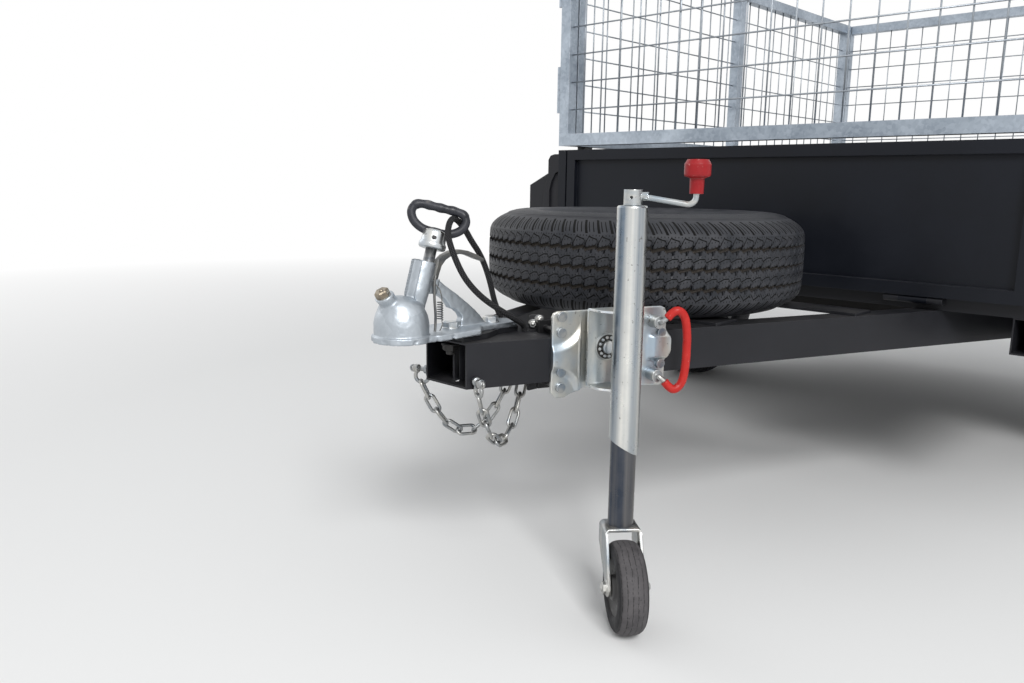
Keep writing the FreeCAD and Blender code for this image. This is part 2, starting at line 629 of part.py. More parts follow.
# Axle on leaf springs, clipped down with U-bolts over the axle
SPRING_TOP = "(tyre_radius - axle_size / 2)"
node("axle_beam", block("axle_beam", ("0", AXLE_Y, "tyre_radius"),
     (f"2 * ({TYRE_X} - hub_length / 2 - seat_gap)", "axle_size", "axle_size")))
LEAF_SHARES = (1.0, 0.78, 0.56, 0.34)
for name, side in SIDES:
    x = val(f"{side} * {RAIL_X}")
    wide, thick, reach = val("spring_width"), val("leaf"), val("spring_half")
    top, rise, y0 = val(f"{SPRING_TOP} - seat_gap"), val("spring_rise"), val(AXLE_Y)
    across = FreeCAD.Vector(wide, 0, 0)
    leaves = []
    for i, share in enumerate(LEAF_SHARES):
        upper = [FreeCAD.Vector(x - wide / 2, y0 + step * reach * share,
                                top - i * thick + rise * (share * step) ** 2)
                 for step in (-1, 0, 1)]
        lower = [corner - FreeCAD.Vector(0, 0, thick) for corner in upper]
        edges = [Part.Arc(*upper).toShape(), Part.makeLine(upper[2], lower[2]),
                 Part.Arc(*reversed(lower)).toShape(), Part.makeLine(lower[0], upper[0])]
        leaves.append(Part.Face(Part.Wire(edges)).extrude(across))
    for end in (-1, 1):
        centre = FreeCAD.Vector(x - wide / 2, y0 + end * (reach + thick), top + rise + 2)
        leaves.append(Part.makeCylinder(val("eye_radius"), wide, centre, FreeCAD.Vector(1, 0, 0)))
    node(f"leaf_spring_{name}", solid(f"leaf_spring_{name}",
                                      leaves[0].multiFuse(leaves[1:]).removeSplitter()))
hangers = []
HANGER_FOOT = f"({SPRING_TOP} + spring_rise - 14)"
for name, side in SIDES:
    for end in (-1, 1):
        for wall in (-1, 1):
            at = (f"{side} * {RAIL_X} + {wall} * (spring_width / 2 + seat_gap + hanger_plate / 2)",
                  f"{AXLE_Y} + {end} * (spring_half + leaf)",
                  f"(drawbar_top - rail_height + {HANGER_FOOT}) / 2")
            hangers.append(block(f"hanger_{name}_{end + 1}_{wall + 1}", at,
                           ("hanger_plate", "60", f"drawbar_top - rail_height - {HANGER_FOOT}")))
node("spring_hangers", group("spring_hangers", hangers))
PACK_FOOT = f"({SPRING_TOP} - seat_gap - {len(LEAF_SHARES)} * leaf)"
CLIP_X = "(spring_width / 2 + clip_radius + seat_gap)"
CLIP_Y = "(axle_size / 2 + clip_radius + seat_gap)"
CLIP_TOP = "(tyre_radius + axle_size / 2 + seat_gap + clip_radius)"
clips = []
for name, side in SIDES:
    pieces = [block(f"clip_plate_{name}",
                    (f"{side} * {RAIL_X}", AXLE_Y, f"{PACK_FOOT} - seat_gap - clip_plate / 2"),
              (f"2 * {CLIP_X} + 4 * clip_radius", f"2 * {CLIP_Y} + 4 * clip_radius", "clip_plate"))]
    for across in (-1, 1):
        x = f"{side} * {RAIL_X} + {across} * {CLIP_X}"
        pieces.append(rod(f"clip_top_{name}_{across + 1}", (x, AXLE_Y, CLIP_TOP), "clip_radius",
                      f"2 * {CLIP_Y}", "90"))
        for along in (-1, 1):
            pieces.append(rod(f"clip_leg_{name}_{across + 1}_{along + 1}",
                          (x, f"{AXLE_Y} + {along} * {CLIP_Y}", f"({CLIP_TOP} + {PACK_FOOT} - 24) / 2"),
                          "clip_radius", f"{CLIP_TOP} - {PACK_FOOT} + 24"))
    clips.append(fuse(f"spring_clip_{name}", pieces))
node("spring_clips", group("spring_clips", clips))

# Mudguards: rolled sheet over each wheel with an outer lip that turns down
GUARD_RADIUS = "(tyre_radius + guard_gap)"
for name, side in SIDES:
    corners = [("0", GUARD_RADIUS), ("guard_width - guard_sheet", GUARD_RADIUS),
               ("guard_width - guard_sheet", f"{GUARD_RADIUS} - guard_lip"),
               ("guard_width", f"{GUARD_RADIUS} - guard_lip"),
               ("guard_width", f"{GUARD_RADIUS} + guard_sheet"), ("0", f"{GUARD_RADIUS} + guard_sheet")]
    if side < 0:
        corners = [(f"-({across})", up) for across, up in corners]
    guard = turned(f"mudguard_{name}_body", "XY_Plane", corners, "H_Axis", 180)
    place(guard, (f"{side} * body_width / 2", AXLE_Y, "tyre_radius"))
    node(f"mudguard_{name}", guard)

# Tail lamps on a cross plate below the tailgate
LAMP_Z = "drawbar_top - lamp_height / 2"
lamps = [block(f"lamp_{name}", (f"{side} * (body_width / 2 - 70)", f"{BODY_REAR} + lamp_depth / 2", LAMP_Z),
         ("lamp_width", "lamp_depth", "lamp_height")) for name, side in SIDES]
node("tail_lamps", group("tail_lamps", lamps))
node("rear_cross_plate", block("rear_cross_plate", ("0", f"{BODY_REAR} - panel_rail / 2", LAMP_Z),
     ("body_width - panel_rail", "panel_rail", "lamp_height")))

# Cage: four square-tube frames on blocks, each filled with welded mesh
IN_HALF = "(body_width / 2 - post_size / 2)"
SIDE_LENGTH = "(body_length - 2 * post_size - 2 * panel_gap)"
CLEAR_HEIGHT = "(cage_height - 2 * post_size)"
ROWS = int(val(f"{CLEAR_HEIGHT} / mesh_pitch_up"))


def mesh(name, centre, clear_width, length_axis, face):
    """Upright bars in one layer and level bars in the layer in front, between the rails of a frame."""
    x, y, z = centre
    bars = []
    count = int(val(f"{clear_width} / mesh_pitch_across"))
    for i in range(count):
        shift = f"({i} - {(count - 1) / 2}) * mesh_pitch_across"
        back = f"-{face} * (wire + wire_gap) / 2"
        at = (f"{x} + {shift}", f"{y} + {back}", z) if length_axis == 0 else (f"{x} + {back}",
                                                                              f"{y} + {shift}", z)
        bars.append(block(f"{name}_upright_{i}", at, ("wire", "wire", CLEAR_HEIGHT)))
    for i in range(ROWS):
        level = f"{z} + ({i} - {(ROWS - 1) / 2}) * mesh_pitch_up"
        ahead = f"{face} * (wire + wire_gap) / 2"
        if length_axis == 0:
            bars.append(block(f"{name}_level_{i}", (x, f"{y} + {ahead}", level),
                              (clear_width, "wire", "wire")))
        else:
            bars.append(block(f"{name}_level_{i}", (f"{x} + {ahead}", y, level),
                              ("wire", clear_width, "wire")))
    return bars


for name, side in SIDES:
    x = f"{side} * {IN_HALF}"
    pieces = [
        block(f"side_rail_top_{name}", (x, BODY_Y, f"{CAGE_TOP} - post_size / 2"),
              ("post_size", SIDE_LENGTH, "post_size")),
        block(f"side_rail_low_{name}", (x, BODY_Y, f"{CAGE_BASE} + post_size / 2"),
              ("post_size", SIDE_LENGTH, "post_size")),
    ]
    for i in (-1, 0, 1):
        along = f"{BODY_Y} + {i} * ({SIDE_LENGTH} / 2 - post_size / 2)"
        pieces.append(block(f"side_upright_{name}_{i + 1}", (x, along, CAGE_MIDDLE),
                      ("post_size", "post_size", "cage_height")))
    node(f"cage_side_{name}", fuse(f"cage_side_{name}", pieces))
    bay = f"(({SIDE_LENGTH} - 3 * post_size) / 2)"
    bars = []
    for half in (-1, 1):
        bars += mesh(f"mesh_{name}_{half + 1}",
                     (x, f"{BODY_Y} + {half} * ({bay} + post_size) / 2", CAGE_MIDDLE),
                     bay, 1, side)
    node(f"cage_mesh_{name}", group(f"cage_mesh_{name}", bars))
for end, label, edge, out in ENDS:
    y = f"({edge} - {out} * post_size / 2)"
    pieces = [
        block(f"gate_rail_top_{end}", ("0", y, f"{CAGE_TOP} - post_size / 2"),
              ("body_width", "post_size", "post_size")),
        block(f"gate_rail_low_{end}", ("0", y, f"{CAGE_BASE} + post_size / 2"),
              ("body_width", "post_size", "post_size")),
    ]
    for i in (-1, 1):
        pieces.append(block(f"gate_upright_{end}_{i + 1}",
                            (f"{i} * (body_width - post_size) / 2", y, CAGE_MIDDLE),
                      ("post_size", "post_size", "cage_height")))
    node(f"cage_gate_{end}", fuse(f"cage_gate_{end}", pieces))
    node(f"cage_gate_mesh_{end}", group(f"cage_gate_mesh_{end}", mesh(f"mesh_{end}", ("0", y, CAGE_MIDDLE),
         "(body_width - 2 * post_size)", 0, out)))

# Lift-off hinges: the front cage gate hangs on the right side's posts, the rear one on the left side's
BARREL_X = "(body_width / 2 + barrel_radius)"
STRAP_SHIFT = 4
for end, label, edge, out in ENDS:
    hinge, side = ("right", -1) if end == "front" else ("left", 1)
    y = f"({edge} - {out} * (post_size / 2 - {STRAP_SHIFT}))"
    gate_parts = [nodes[f"cage_gate_{end}"]]
    side_parts = [nodes[f"cage_side_{hinge}"]]
    for i, level in enumerate((f"({CAGE_BASE} + barrel_low)", f"({CAGE_TOP} - barrel_high)")):
        gate_parts.append(rod(f"gate_barrel_{end}_{i}",
                              (f"{side} * {BARREL_X}", y, f"{level} + (barrel_half + 1) / 2"),
                          "barrel_radius", "barrel_half"))
        side_parts.append(rod(f"side_barrel_{end}_{i}",
                              (f"{side} * {BARREL_X}", y, f"{level} - (barrel_half + 1) / 2"),
                          "barrel_radius", "barrel_half"))
        side_parts.append(block(f"hinge_strap_{end}_{i}", (f"{side} * (body_width / 2 + barrel_radius + 1)",
                          f"{y} - {out} * strap_reach / 2", f"{level} - (barrel_half + 1) / 2"),
                          ("strap_plate", "strap_reach", "strap_reach / 2")))
        side_parts.append(block(f"hinge_lug_{end}_{i}", (f"{side} * (body_width / 2 + barrel_radius / 2)",
                          f"{y} - {out} * 0.75 * strap_reach", f"{level} - (barrel_half + 1) / 2"),
                          ("barrel_radius", "strap_reach / 2", "strap_reach / 2")))
    node(f"cage_gate_{end}", fuse(f"cage_gate_{end}_hinged", gate_parts))
    node(f"cage_side_{hinge}", fuse(f"cage_side_{hinge}_hinged", side_parts))
feet = [block(f"foot_{name}_{i + 1}", (f"{side} * {IN_HALF}",
                                       f"{BODY_Y} + {i} * (body_length / 2 - 3 * post_size)",
        f"{BODY_TOP} + cage_lift / 2"), ("panel_rail", "foot_length", "cage_lift")) for name, side in SIDES
        for i in (-1, 0, 1)]
node("cage_feet", group("cage_feet", feet))

# Front corners of the body: an ear plate with a bolt, a bent strap and a folded guard plate, on both sides
EAR = [("body_width / 2", "body_height - 11"), ("body_width / 2 + 16", "body_height - 11"),
       ("body_width / 2 + 31", "body_height - 15"), ("body_width / 2 + 39", "body_height - 27"),
       ("body_width / 2 + 39", "body_height - 66"), ("body_width / 2 + 44", "body_height - 84"),
       ("body_width / 2 + 55", "body_height - 116"), ("body_width / 2 + 57", "body_height - 150"),
       ("body_width / 2 + 57", "30"), ("body_width / 2 + 34", "30"),
       ("body_width / 2 + 34", "body_height - 116"),
       ("body_width / 2 + 26", "body_height - 88"), ("body_width / 2 + 12", "body_height - 66"),
       ("body_width / 2", "body_height - 60")]
GUARD = [("body_width / 2", "body_height - 46"), ("body_width / 2 + 10", "body_height - 49"),
         ("body_width / 2 + 117", "body_height - 100"), ("body_width / 2 + 117", "16"),
         ("body_width / 2", "16")]
corners_made = []
for label, corners, back in (("ear", EAR, "nose_to_body + ear_plate / 2"),
                             ("guard", GUARD, "nose_to_body + 1.5 * ear_plate + 5 * seat_gap")):
    for name, side in SIDES:
        sided = [(f"{side} * ({across})", up) for across, up in corners]
        plate = padded(f"corner_{label}_{name}", "XZ_Plane", sided, "ear_plate")
        place(plate, ("0", f"{NOSE} + {back}", SILL))
        corners_made.append(plate)
node("corner_plates", group("corner_plates", corners_made))

# Spare wheel on two cross plates of the drawbar
SPARE_Y = f"({NOSE} + spare_back)"
plates = []
for i, back in enumerate(("-120", "205")):
    width = f"2 * (nose_width / 2 + (spare_back + {back} - 38) * tan(a_frame_angle))"
    plates.append(block(f"spare_plate_{i}", ("0", f"{SPARE_Y} + {back}", "drawbar_top + spare_lift / 2"),
                  (width, "75", "spare_lift")))
node("spare_plates", group("spare_plates", plates))
wheel(("spare_tyre", "spare_rim"), ("-spare_aside", SPARE_Y, "drawbar_top + spare_lift + tyre_width / 2"),
      (0, 1, 0), "-90")

# Coupling: a galvanised casting with a ball socket under its dome, bolted to the nose
DOME_BACK = "(rim_reach - coupling_reach)"
DOME_Y = f"({NOSE} + {DOME_BACK})"
FLANGE = [("tail_half", "tail_back - 8"), ("tail_half - 8", "tail_back"), ("8 - tail_half", "tail_back"),
          ("-tail_half", "tail_back - 8"), ("-tail_half", "60"), ("-flange_half", "36"),
          ("-flange_half", DOME_BACK),
          ("flange_half", DOME_BACK), ("flange_half", "36"), ("tail_half", "60")]
flange = padded("coupling_flange", "XY_Plane", FLANGE, "flange_thick")
place(flange, ("0", NOSE, "drawbar_top + flange_thick / 2"))
BARREL_FOOT_UP = "40"
BARREL_FOOT_BACK = f"({DOME_BACK} + 25)"
LEAN_BACK = "sin(barrel_lean)"
LEAN_UP = "cos(barrel_lean)"


def on_barrel(distance, shift="0"):
    """A point on the leaning barrel's axis, or behind it."""
    return at_nose(0, f"{BARREL_FOOT_BACK} + ({distance}) * {LEAN_BACK} + ({shift}) * {LEAN_UP}",
                   f"{BARREL_FOOT_UP} + ({distance}) * {LEAN_UP} - ({shift}) * {LEAN_BACK}")


# Side view of the web: its top edge falls from the barrel to the flange, with a scalloped opening below
WEB = [("-44", "100"), ("-22", "101"), ("-2", "87.4"), ("20", "73.2"), ("40", "58.9"), ("58", "45.6"),
       ("70", "33"),
       ("84", "flange_thick"), ("28", "flange_thick"), ("28", "25"), ("30.4", "33.3"), ("26", "41"),
       ("17.7", "48.3"),
       ("5.3", "52.6"), ("-1.6", "62.6"), ("-9.7", "69.5"), ("-22", "76.6"), ("-44", "80")]
web = padded("coupling_web", "YZ_Plane", WEB, "web_thick")
place(web, ("0", NOSE, "drawbar_top"))
casting = [
    flange, web,
    rod("coupling_rim", at_nose(0, DOME_BACK, "flange_thick / 2"), "rim_reach", "flange_thick"),
    rod("coupling_skirt", at_nose(0, DOME_BACK, "dome_middle / 2"), "dome_radius", "dome_middle"),
    leaning("coupling_barrel", at_nose(0, BARREL_FOOT_BACK, BARREL_FOOT_UP), "housing_radius",
            "housing_length",
            "barrel_lean"),
    leaning("coupling_boss", at_nose(0, DOME_BACK, "dome_middle"), "boss_radius", "boss_length",
            "-boss_lean"),
]
dome = doc.addObject("Part::Sphere", "coupling_dome")
bind(dome, Radius="dome_radius")
place(dome, at_nose(0, DOME_BACK, "dome_middle"))
casting.append(dome)
socket = doc.addObject("Part::Sphere", "coupling_socket")
bind(socket, Radius="ball_radius + socket_gap")
place(socket, at_nose(0, DOME_BACK, "ball_centre"))
hollow = [
    socket,
    rod("coupling_mouth", at_nose(0, DOME_BACK, "(ball_centre - 60) / 2"), "ball_radius + socket_gap",
        "ball_centre + 60"),
    block("coupling_below", at_nose(0, "0", "-40"), ("400", "800", "80")),
    leaning("spindle_bore", on_barrel("20", "spindle_shift"), "spindle_radius + seat_gap", "housing_length",
            "barrel_lean"),
]
BOLTS = (("front", "first_bolt", "rail_wall"), ("rear", "second_bolt", "nose_sheet"))
for name, back, held in BOLTS:
    hollow.append(rod(f"flange_hole_{name}", at_nose(0, back, "flange_thick / 2"), BOLT_HOLE,
                      "4 * flange_thick"))
node("coupling_body", cut("coupling_body", fuse("coupling_casting", casting),
                          fuse("coupling_hollow", hollow)))
node("coupling_spindle", leaning("coupling_spindle", on_barrel("20 + seat_gap", "spindle_shift"),
                                 "spindle_radius",
     "housing_length + spindle_length - 20", "barrel_lean"))

# Coupling's bolts through the nose, and the hexagonal screw in the boss
pieces = []
for name, back, held in BOLTS:
    grip = f"(flange_thick + {held})"
    pieces.append(fuse(f"coupling_bolt_{name}", [
        rod(f"bolt_shank_{name}", at_nose(0, back, f"(flange_thick - {held} - bolt_head - 4) / 2"),
            "bolt_radius",
            f"{grip} + bolt_head + 4"),
        hexagon(f"bolt_head_{name}", at_nose(0, back, "flange_thick"), "bolt_across", "bolt_head"),
        hexagon(f"bolt_nut_{name}", at_nose(0, back, f"-{held} - bolt_head"), "bolt_across", "bolt_head"),
    ]))
pieces.append(hexagon("boss_screw", at_nose(0, f"{DOME_BACK} - boss_length * sin(boss_lean)",
              "dome_middle + boss_length * cos(boss_lean)"), "boss_screw", "boss_screw_rise", "-boss_lean"))
node("coupling_bolts", group("coupling_bolts", pieces))

# Latch lever: a forged strap that hooks over the web's top and bends back over it
LATCH = [(-36, 101.3), (-31, 113), (-23, 129), (-9, 139), (7, 144.5), (27, 146), (44, 143), (64, 136),
         (81, 127.5),
         (79, 124), (62, 129), (43, 136), (27, 139), (9, 137), (-4, 131), (-13, 122), (-18, 110),
         (-21, 101.3)]
latch = padded("coupling_latch_strap", "YZ_Plane", [(str(back), str(up)) for back, up in LATCH],
               "web_thick - 4")
place(latch, ("0", NOSE, "drawbar_top"))
node("coupling_latch", cut("coupling_latch", latch, leaning("latch_space", on_barrel("0", "spindle_shift"),
     "housing_radius + seat_gap", "housing_length + spindle_length + 40", "barrel_lean")))

# Coupling's handle: a ring to grip, its long way turned towards the left, on a hub pinned to the spindle
GRIP_START = "(housing_length + 26)"
grip_foot = spot(on_barrel(GRIP_START, "spindle_shift"))
lean = math.radians(val("barrel_lean"))
stem = FreeCAD.Vector(0, math.sin(lean), math.cos(lean))
heading = math.radians(val("grip_heading"))
along = FreeCAD.Vector(math.cos(heading), math.sin(heading), 0)
along = (along - stem * along.dot(stem)).normalize()
wide = val("grip_width / 2 - grip_radius")
tall = val("grip_height - 2 * grip_radius")
bar = val("grip_radius")
middle = grip_foot + stem * (val("grip_hub_length") - 3)
RING = [(0.0, 0.0), (0.46, 0.03), (0.98, 0.45), (0.99, 0.78), (0.62, 1.0), (-0.62, 1.0), (-0.99, 0.78),
        (-0.98, 0.45),
        (-0.46, 0.03), (0.0, 0.0)]
ring = bent_rod([middle + along * (wide * a) + stem * (tall * b) for a, b in RING], bar,
                [50, 14, 10, 18, 18, 10, 14, 50])
hub = Part.makeCylinder(val("grip_hub_radius"), val("grip_hub_length"), grip_foot, stem)
bore = Part.makeCylinder(val("spindle_radius + seat_gap"), val("spindle_length"), grip_foot - stem * 20,
                         stem)
node("coupling_handle", solid("coupling_handle", hub.fuse([ring]).cut(bore).removeSplitter()))

# Jockey clamp: a plate on the left member's outer face, bolted above and below it to a strap inside
CLAMP = [("clamp_front", "-54"), ("clamp_front", "clamp_top - 10"), ("clamp_front + 3", "clamp_top - 3"),
         ("clamp_front + 10", "clamp_top"), ("clamp_rear - 12", "clamp_top"),
         ("clamp_rear - 3", "clamp_top - 4"),
         ("clamp_rear", "clamp_top - 13"), ("clamp_rear", "5"), ("clamp_rear + 9", "-14"),
         ("clamp_rear + 9", "-36"),
         ("clamp_rear", "-52"), ("clamp_rear", "-90"), ("clamp_rear - 8", "5 - clamp_low"),
         ("clamp_front + 62", "14 - clamp_low"), ("clamp_front + 36", "5 - clamp_low"),
         ("clamp_front + 26", "-clamp_low"), ("clamp_front + 10", "-clamp_low"),
         ("clamp_front", "10 - clamp_low")]
plate = padded("clamp_plate_body", "YZ_Plane", CLAMP, "clamp_plate")
place(plate, on_member(1, "0", "clamp_plate / 2", "0"), OUTWARD)
STRAP_TOP, STRAP_LOW = "9", "(-rail_height - 10)"
CLAMP_BOLTS = [("strap_station", "36", False), ("strap_station", STRAP_TOP, True),
               ("strap_station", "-58", False),
               ("strap_station", STRAP_LOW, True), ("clamp_rear - 11", "-2", False),
               ("clamp_rear - 11", "-58", False)]
holes = [rod(f"clamp_hole_{i}", on_member(1, along_it, "0", level), "clamp_bolt + seat_gap",
             "4 * clamp_plate", OUTWARD)
         for i, (along_it, level, through) in enumerate(CLAMP_BOLTS)]
node("jockey_clamp", cut("jockey_clamp", plate, group("clamp_holes", holes)))
bolts = []
for i, (along_it, level, through) in enumerate(CLAMP_BOLTS):
    inner = "(rail_width + 2 * clamp_plate)" if through else "0"
    bolts.append(fuse(f"clamp_bolt_{i}", [
        rod(f"clamp_shank_{i}", on_member(1, along_it, f"(clamp_plate - {inner}) / 2", level), "clamp_bolt",
            f"clamp_plate + {inner}", OUTWARD),
        rod(f"clamp_dome_{i}", on_member(1, along_it, "clamp_plate + clamp_dome / 2", level), "clamp_head",
            "clamp_dome", OUTWARD)]))
strap = block("clamp_strap", on_member(1, "strap_station", "-rail_width - clamp_plate / 2",
              f"({STRAP_TOP} + {STRAP_LOW}) / 2"),
              ("clamp_plate", "strap_width", f"{STRAP_TOP} - {STRAP_LOW} + strap_width"), OUTWARD)
reach = [rod(f"strap_hole_{i}", on_member(1, "strap_station", "-rail_width", level), "clamp_bolt + 0.02",
         "4 * clamp_plate", OUTWARD) for i, level in enumerate((STRAP_TOP, STRAP_LOW))]
bolts.append(cut("clamp_strap_cut", strap, group("strap_holes", reach)))
node("clamp_bolts", group("clamp_bolts", bolts))

# Jockey channel: a U of plate welded to the outer tube, on a pivot boss that turns on the clamp plate
TUBE = on_member(1, "jockey_station", "jockey_out", "0")
TUBE_MIDDLE = "(tube_top + tube_bottom) / 2"
CHANNEL = [("channel_out", "channel_half"), ("jockey_out", "channel_half"),
           ("jockey_out", "channel_half - channel_flange"),
           ("channel_out + channel_web", "channel_half - channel_flange"),
           ("channel_out + channel_web", "channel_flange - channel_half"),
           ("jockey_out", "channel_flange - channel_half"), ("jockey_out", "-channel_half"),
           ("channel_out", "-channel_half")]
channel = padded("channel_body", "XZ_Plane", CHANNEL, "channel_width")
place(channel, on_member(1, "jockey_station", "0", "-pivot_drop"), OUTWARD)
BOSS_FOOT = "(clamp_plate + seat_gap)"
PIVOT = "jockey_station + pivot_shift"
boss = rod("pivot_boss", on_member(1, PIVOT, f"({BOSS_FOOT} + channel_out) / 2", "-pivot_drop"),
           "pivot_boss",
           f"channel_out - {BOSS_FOOT}", OUTWARD)
detent = rod("pivot_detent", on_member(1, PIVOT, "channel_out + 1.3 * channel_web", "-pivot_drop"),
             "pivot_boss",
             "0.6 * channel_web", OUTWARD)
pin = rod("pivot_pin", on_member(1, PIVOT, "channel_out + 1.9 * channel_web", "-pivot_drop"), "pivot_pin",
          "1.8 * channel_web", OUTWARD)
tube_bore = rod("channel_bore", (TUBE[0], TUBE[1], TUBE_MIDDLE), "tube_radius + 0.02",
                "2 * (tube_top - tube_bottom)")
node("jockey_channel", cut("jockey_channel", fuse("channel_parts", [channel, boss, detent, pin]), tube_bore))

# Outer tube with a rounded cap, cut at a slant below, and the inner tube that winds up inside it
SCREW = "8"
OUTER = [(f"{SCREW} + seat_gap", "tube_top - tube_wall"),
         ("tube_radius - tube_wall", "tube_top - tube_wall"),
         ("tube_radius - tube_wall", "tube_bottom - 20"), ("tube_radius", "tube_bottom - 20"),
         ("tube_radius", "tube_top - 3"),
         ("tube_radius - 1", "tube_top - 1"), ("tube_radius - 3", "tube_top"),
         (f"{SCREW} + seat_gap", "tube_top")]
outer = turned("outer_tube_body", "XZ_Plane", OUTER, "V_Axis")
place(outer, (TUBE[0], TUBE[1], "0"))
tube_foot = spot((TUBE[0], TUBE[1], "tube_bottom"))
view = math.radians(44)
slant = Part.makeBox(200, 200, 200, FreeCAD.Vector(-100, -100, -200))
slant_turn = FreeCAD.Rotation(FreeCAD.Vector(-math.sin(view), math.cos(view), 0), val("tube_slant"))
slant_cut = solid("tube_slant_cut", settled(slant, tube_foot + FreeCAD.Vector(0, 0, 13), slant_turn))
node("jockey_tube", cut("jockey_tube", outer, slant_cut))
INNER_TOP = "(tube_top - leg_top_drop)"
LEG = [("0", "fork_top"), ("inner_radius", "fork_top"), ("inner_radius", INNER_TOP),
       ("inner_radius - inner_wall", INNER_TOP), ("inner_radius - inner_wall", "fork_top + inner_wall"),
       ("0", "fork_top + inner_wall")]
leg = turned("inner_tube_body", "XZ_Plane", LEG, "V_Axis")
place(leg, (TUBE[0], TUBE[1], "0"))
node("jockey_leg", leg)

# Fork and wheel: a strap bent over the wheel, its legs narrowing to the axle bolt
SPACE = "(small_wheel_width + 2 * fork_space)"
FORK = [("-fork_half", "fork_top"), ("fork_half + 4", "fork_top"),
        ("fork_trail + 15", "small_wheel_radius + 6"),
        ("fork_trail + 13", "small_wheel_radius - 8"), ("fork_trail + 5", "small_wheel_radius - 14"),
        ("fork_trail - 6", "small_wheel_radius - 14"), ("fork_trail - 14", "small_wheel_radius - 6"),
        ("-fork_half", "fork_top - 40")]
fork_plate = padded("fork_body", "XZ_Plane", FORK, f"{SPACE} + 2 * fork_strap")
fork_space = block("fork_space", ("fork_trail", "0", "(fork_top - fork_strap) / 2"),
                   ("400", SPACE, "fork_top - fork_strap"))
axle_bolt = rod("fork_axle", ("fork_trail", "0", "small_wheel_radius"), "small_axle",
                f"{SPACE} + 4 * fork_strap", "90")
nuts = [rod(f"fork_nut_{end + 1}", ("fork_trail", f"{end} * ({SPACE} / 2 + 1.6 * fork_strap)",
                                    "small_wheel_radius"),
        "small_axle + 4", "1.2 * fork_strap", "90") for end in (-1, 1)]
fork = fuse("fork_joined", [cut("fork_straps", fork_plate, fork_space), axle_bolt] + nuts)
place(fork, (TUBE[0], TUBE[1], "0"), "fork_turn")
node("jockey_fork", fork)
HALF_WIDE = "small_wheel_width / 2"
SMALL = [("small_axle + seat_gap", HALF_WIDE), ("20", HALF_WIDE), ("24", f"{HALF_WIDE} - 5"),
         ("44", f"{HALF_WIDE} - 5"),
         ("48", HALF_WIDE), ("small_wheel_radius - 9", HALF_WIDE),
         ("small_wheel_radius - 2", f"{HALF_WIDE} - 7"),
         ("small_wheel_radius", f"{HALF_WIDE} - 14")]
SMALL = [(up, across) for up, across in SMALL] + [(up, f"-({across})") for up, across in reversed(SMALL)]
roller = turned("small_wheel_body", "XY_Plane", SMALL, "V_Axis")
place(roller, (f"({TUBE[0]}) + fork_trail * cos(fork_turn)", f"({TUBE[1]}) + fork_trail * sin(fork_turn)",
      "small_wheel_radius"), "fork_turn")
node("jockey_wheel", roller)

# Crank: a hub on the winding screw, a bent rod and a red knob that turns on its end
hub_foot = spot((TUBE[0], TUBE[1], "tube_top + seat_gap"))
turn = math.radians(val("crank_heading"))
ahead = FreeCAD.Vector(math.cos(turn), math.sin(turn), 0)
up = FreeCAD.Vector(0, 0, 1)
reach, thick = val("crank_reach"), val("crank_radius")
crank = Part.makeCylinder(val("crank_hub_radius"), val("crank_hub_height"), hub_foot).fuse([
    Part.makeCylinder(val(SCREW), 60, hub_foot - up * 59),
    Part.makeCylinder(6.5, 24, hub_foot + up * 14, ahead),
    bent_rod([hub_foot + up * 14 + ahead * 10, hub_foot + up * 1 + ahead * reach,
              hub_foot + up * 50 + ahead * reach],
             thick, [12])])
cross_hole = Part.makeCylinder(2.5, 60, hub_foot + up * 12 + ahead.cross(up) * 30, up.cross(ahead))
node("jockey_crank", solid("jockey_crank", crank.cut(cross_hole).removeSplitter()))
KNOB = [("crank_radius + seat_gap / 2", "19"), ("knob_neck", "19"), ("knob_neck + 0.5", "42"),
        ("knob_radius - 1", "45"),
        ("knob_radius", "48"), ("knob_radius", "63"), ("knob_radius - 4", "70"), ("0", "70"), ("0", "51"),
        ("crank_radius + seat_gap / 2", "51")]
knob = turned("knob_body", "XZ_Plane", KNOB, "V_Axis")
place(knob, (f"({TUBE[0]}) + crank_reach * cos(crank_heading)",
             f"({TUBE[1]}) + crank_reach * sin(crank_heading)",
      "tube_top + seat_gap"))
node("jockey_knob", knob)

# Release bail: a red sleeve on a bent wire whose two ends pass through collars on the clamp plate
COLLAR_LEVELS = (19.5, -75)
collars = []
for i, level in enumerate(COLLAR_LEVELS):
    wire_points = [spot(on_member(1, f"collar_station + {a}", b, f"{level} + {c * (1 - 2 * i)}"))
                   for a, b, c in ((0, 10, 0), (0, 33, 0), (9, 38, 8.5))]
    collars.append(bent_rod(wire_points, val("bail_wire"), [6]))
    ring = Part.makeCylinder(val("collar_radius"), val("collar_length"),
                             spot(on_member(1, "collar_station", "clamp_plate", level)),
                             spot(on_member(1, "0", "1", "0")) - spot(on_member(1, "0", "0", "0")))
    collars.append(ring)
joined = [collars[0].fuse([collars[1]]).removeSplitter(), collars[2].fuse([collars[3]]).removeSplitter()]
node("bail_collars", solid("bail_collars", Part.makeCompound(joined)))
SLEEVE = [(9, 38, 28), (24, 46, 42), (40, 48, 24), (45, 48, -5), (45, 48, -50), (40, 48, -80),
          (24, 46, -97.5), (9, 38, -83.5)]
sleeve_points = [spot(on_member(1, f"collar_station + {a}", b, c)) for a, b, c in SLEEVE]
node("jockey_bail", solid("jockey_bail", bent_rod(sleeve_points, val("bail_radius"),
                                                  [14, 22, 60, 60, 22, 14])))

# Safety chains: bow shackles on the nose, links in a hanging loop, and their ends on a bar under the nose
LINKS = int(val("chain_links"))


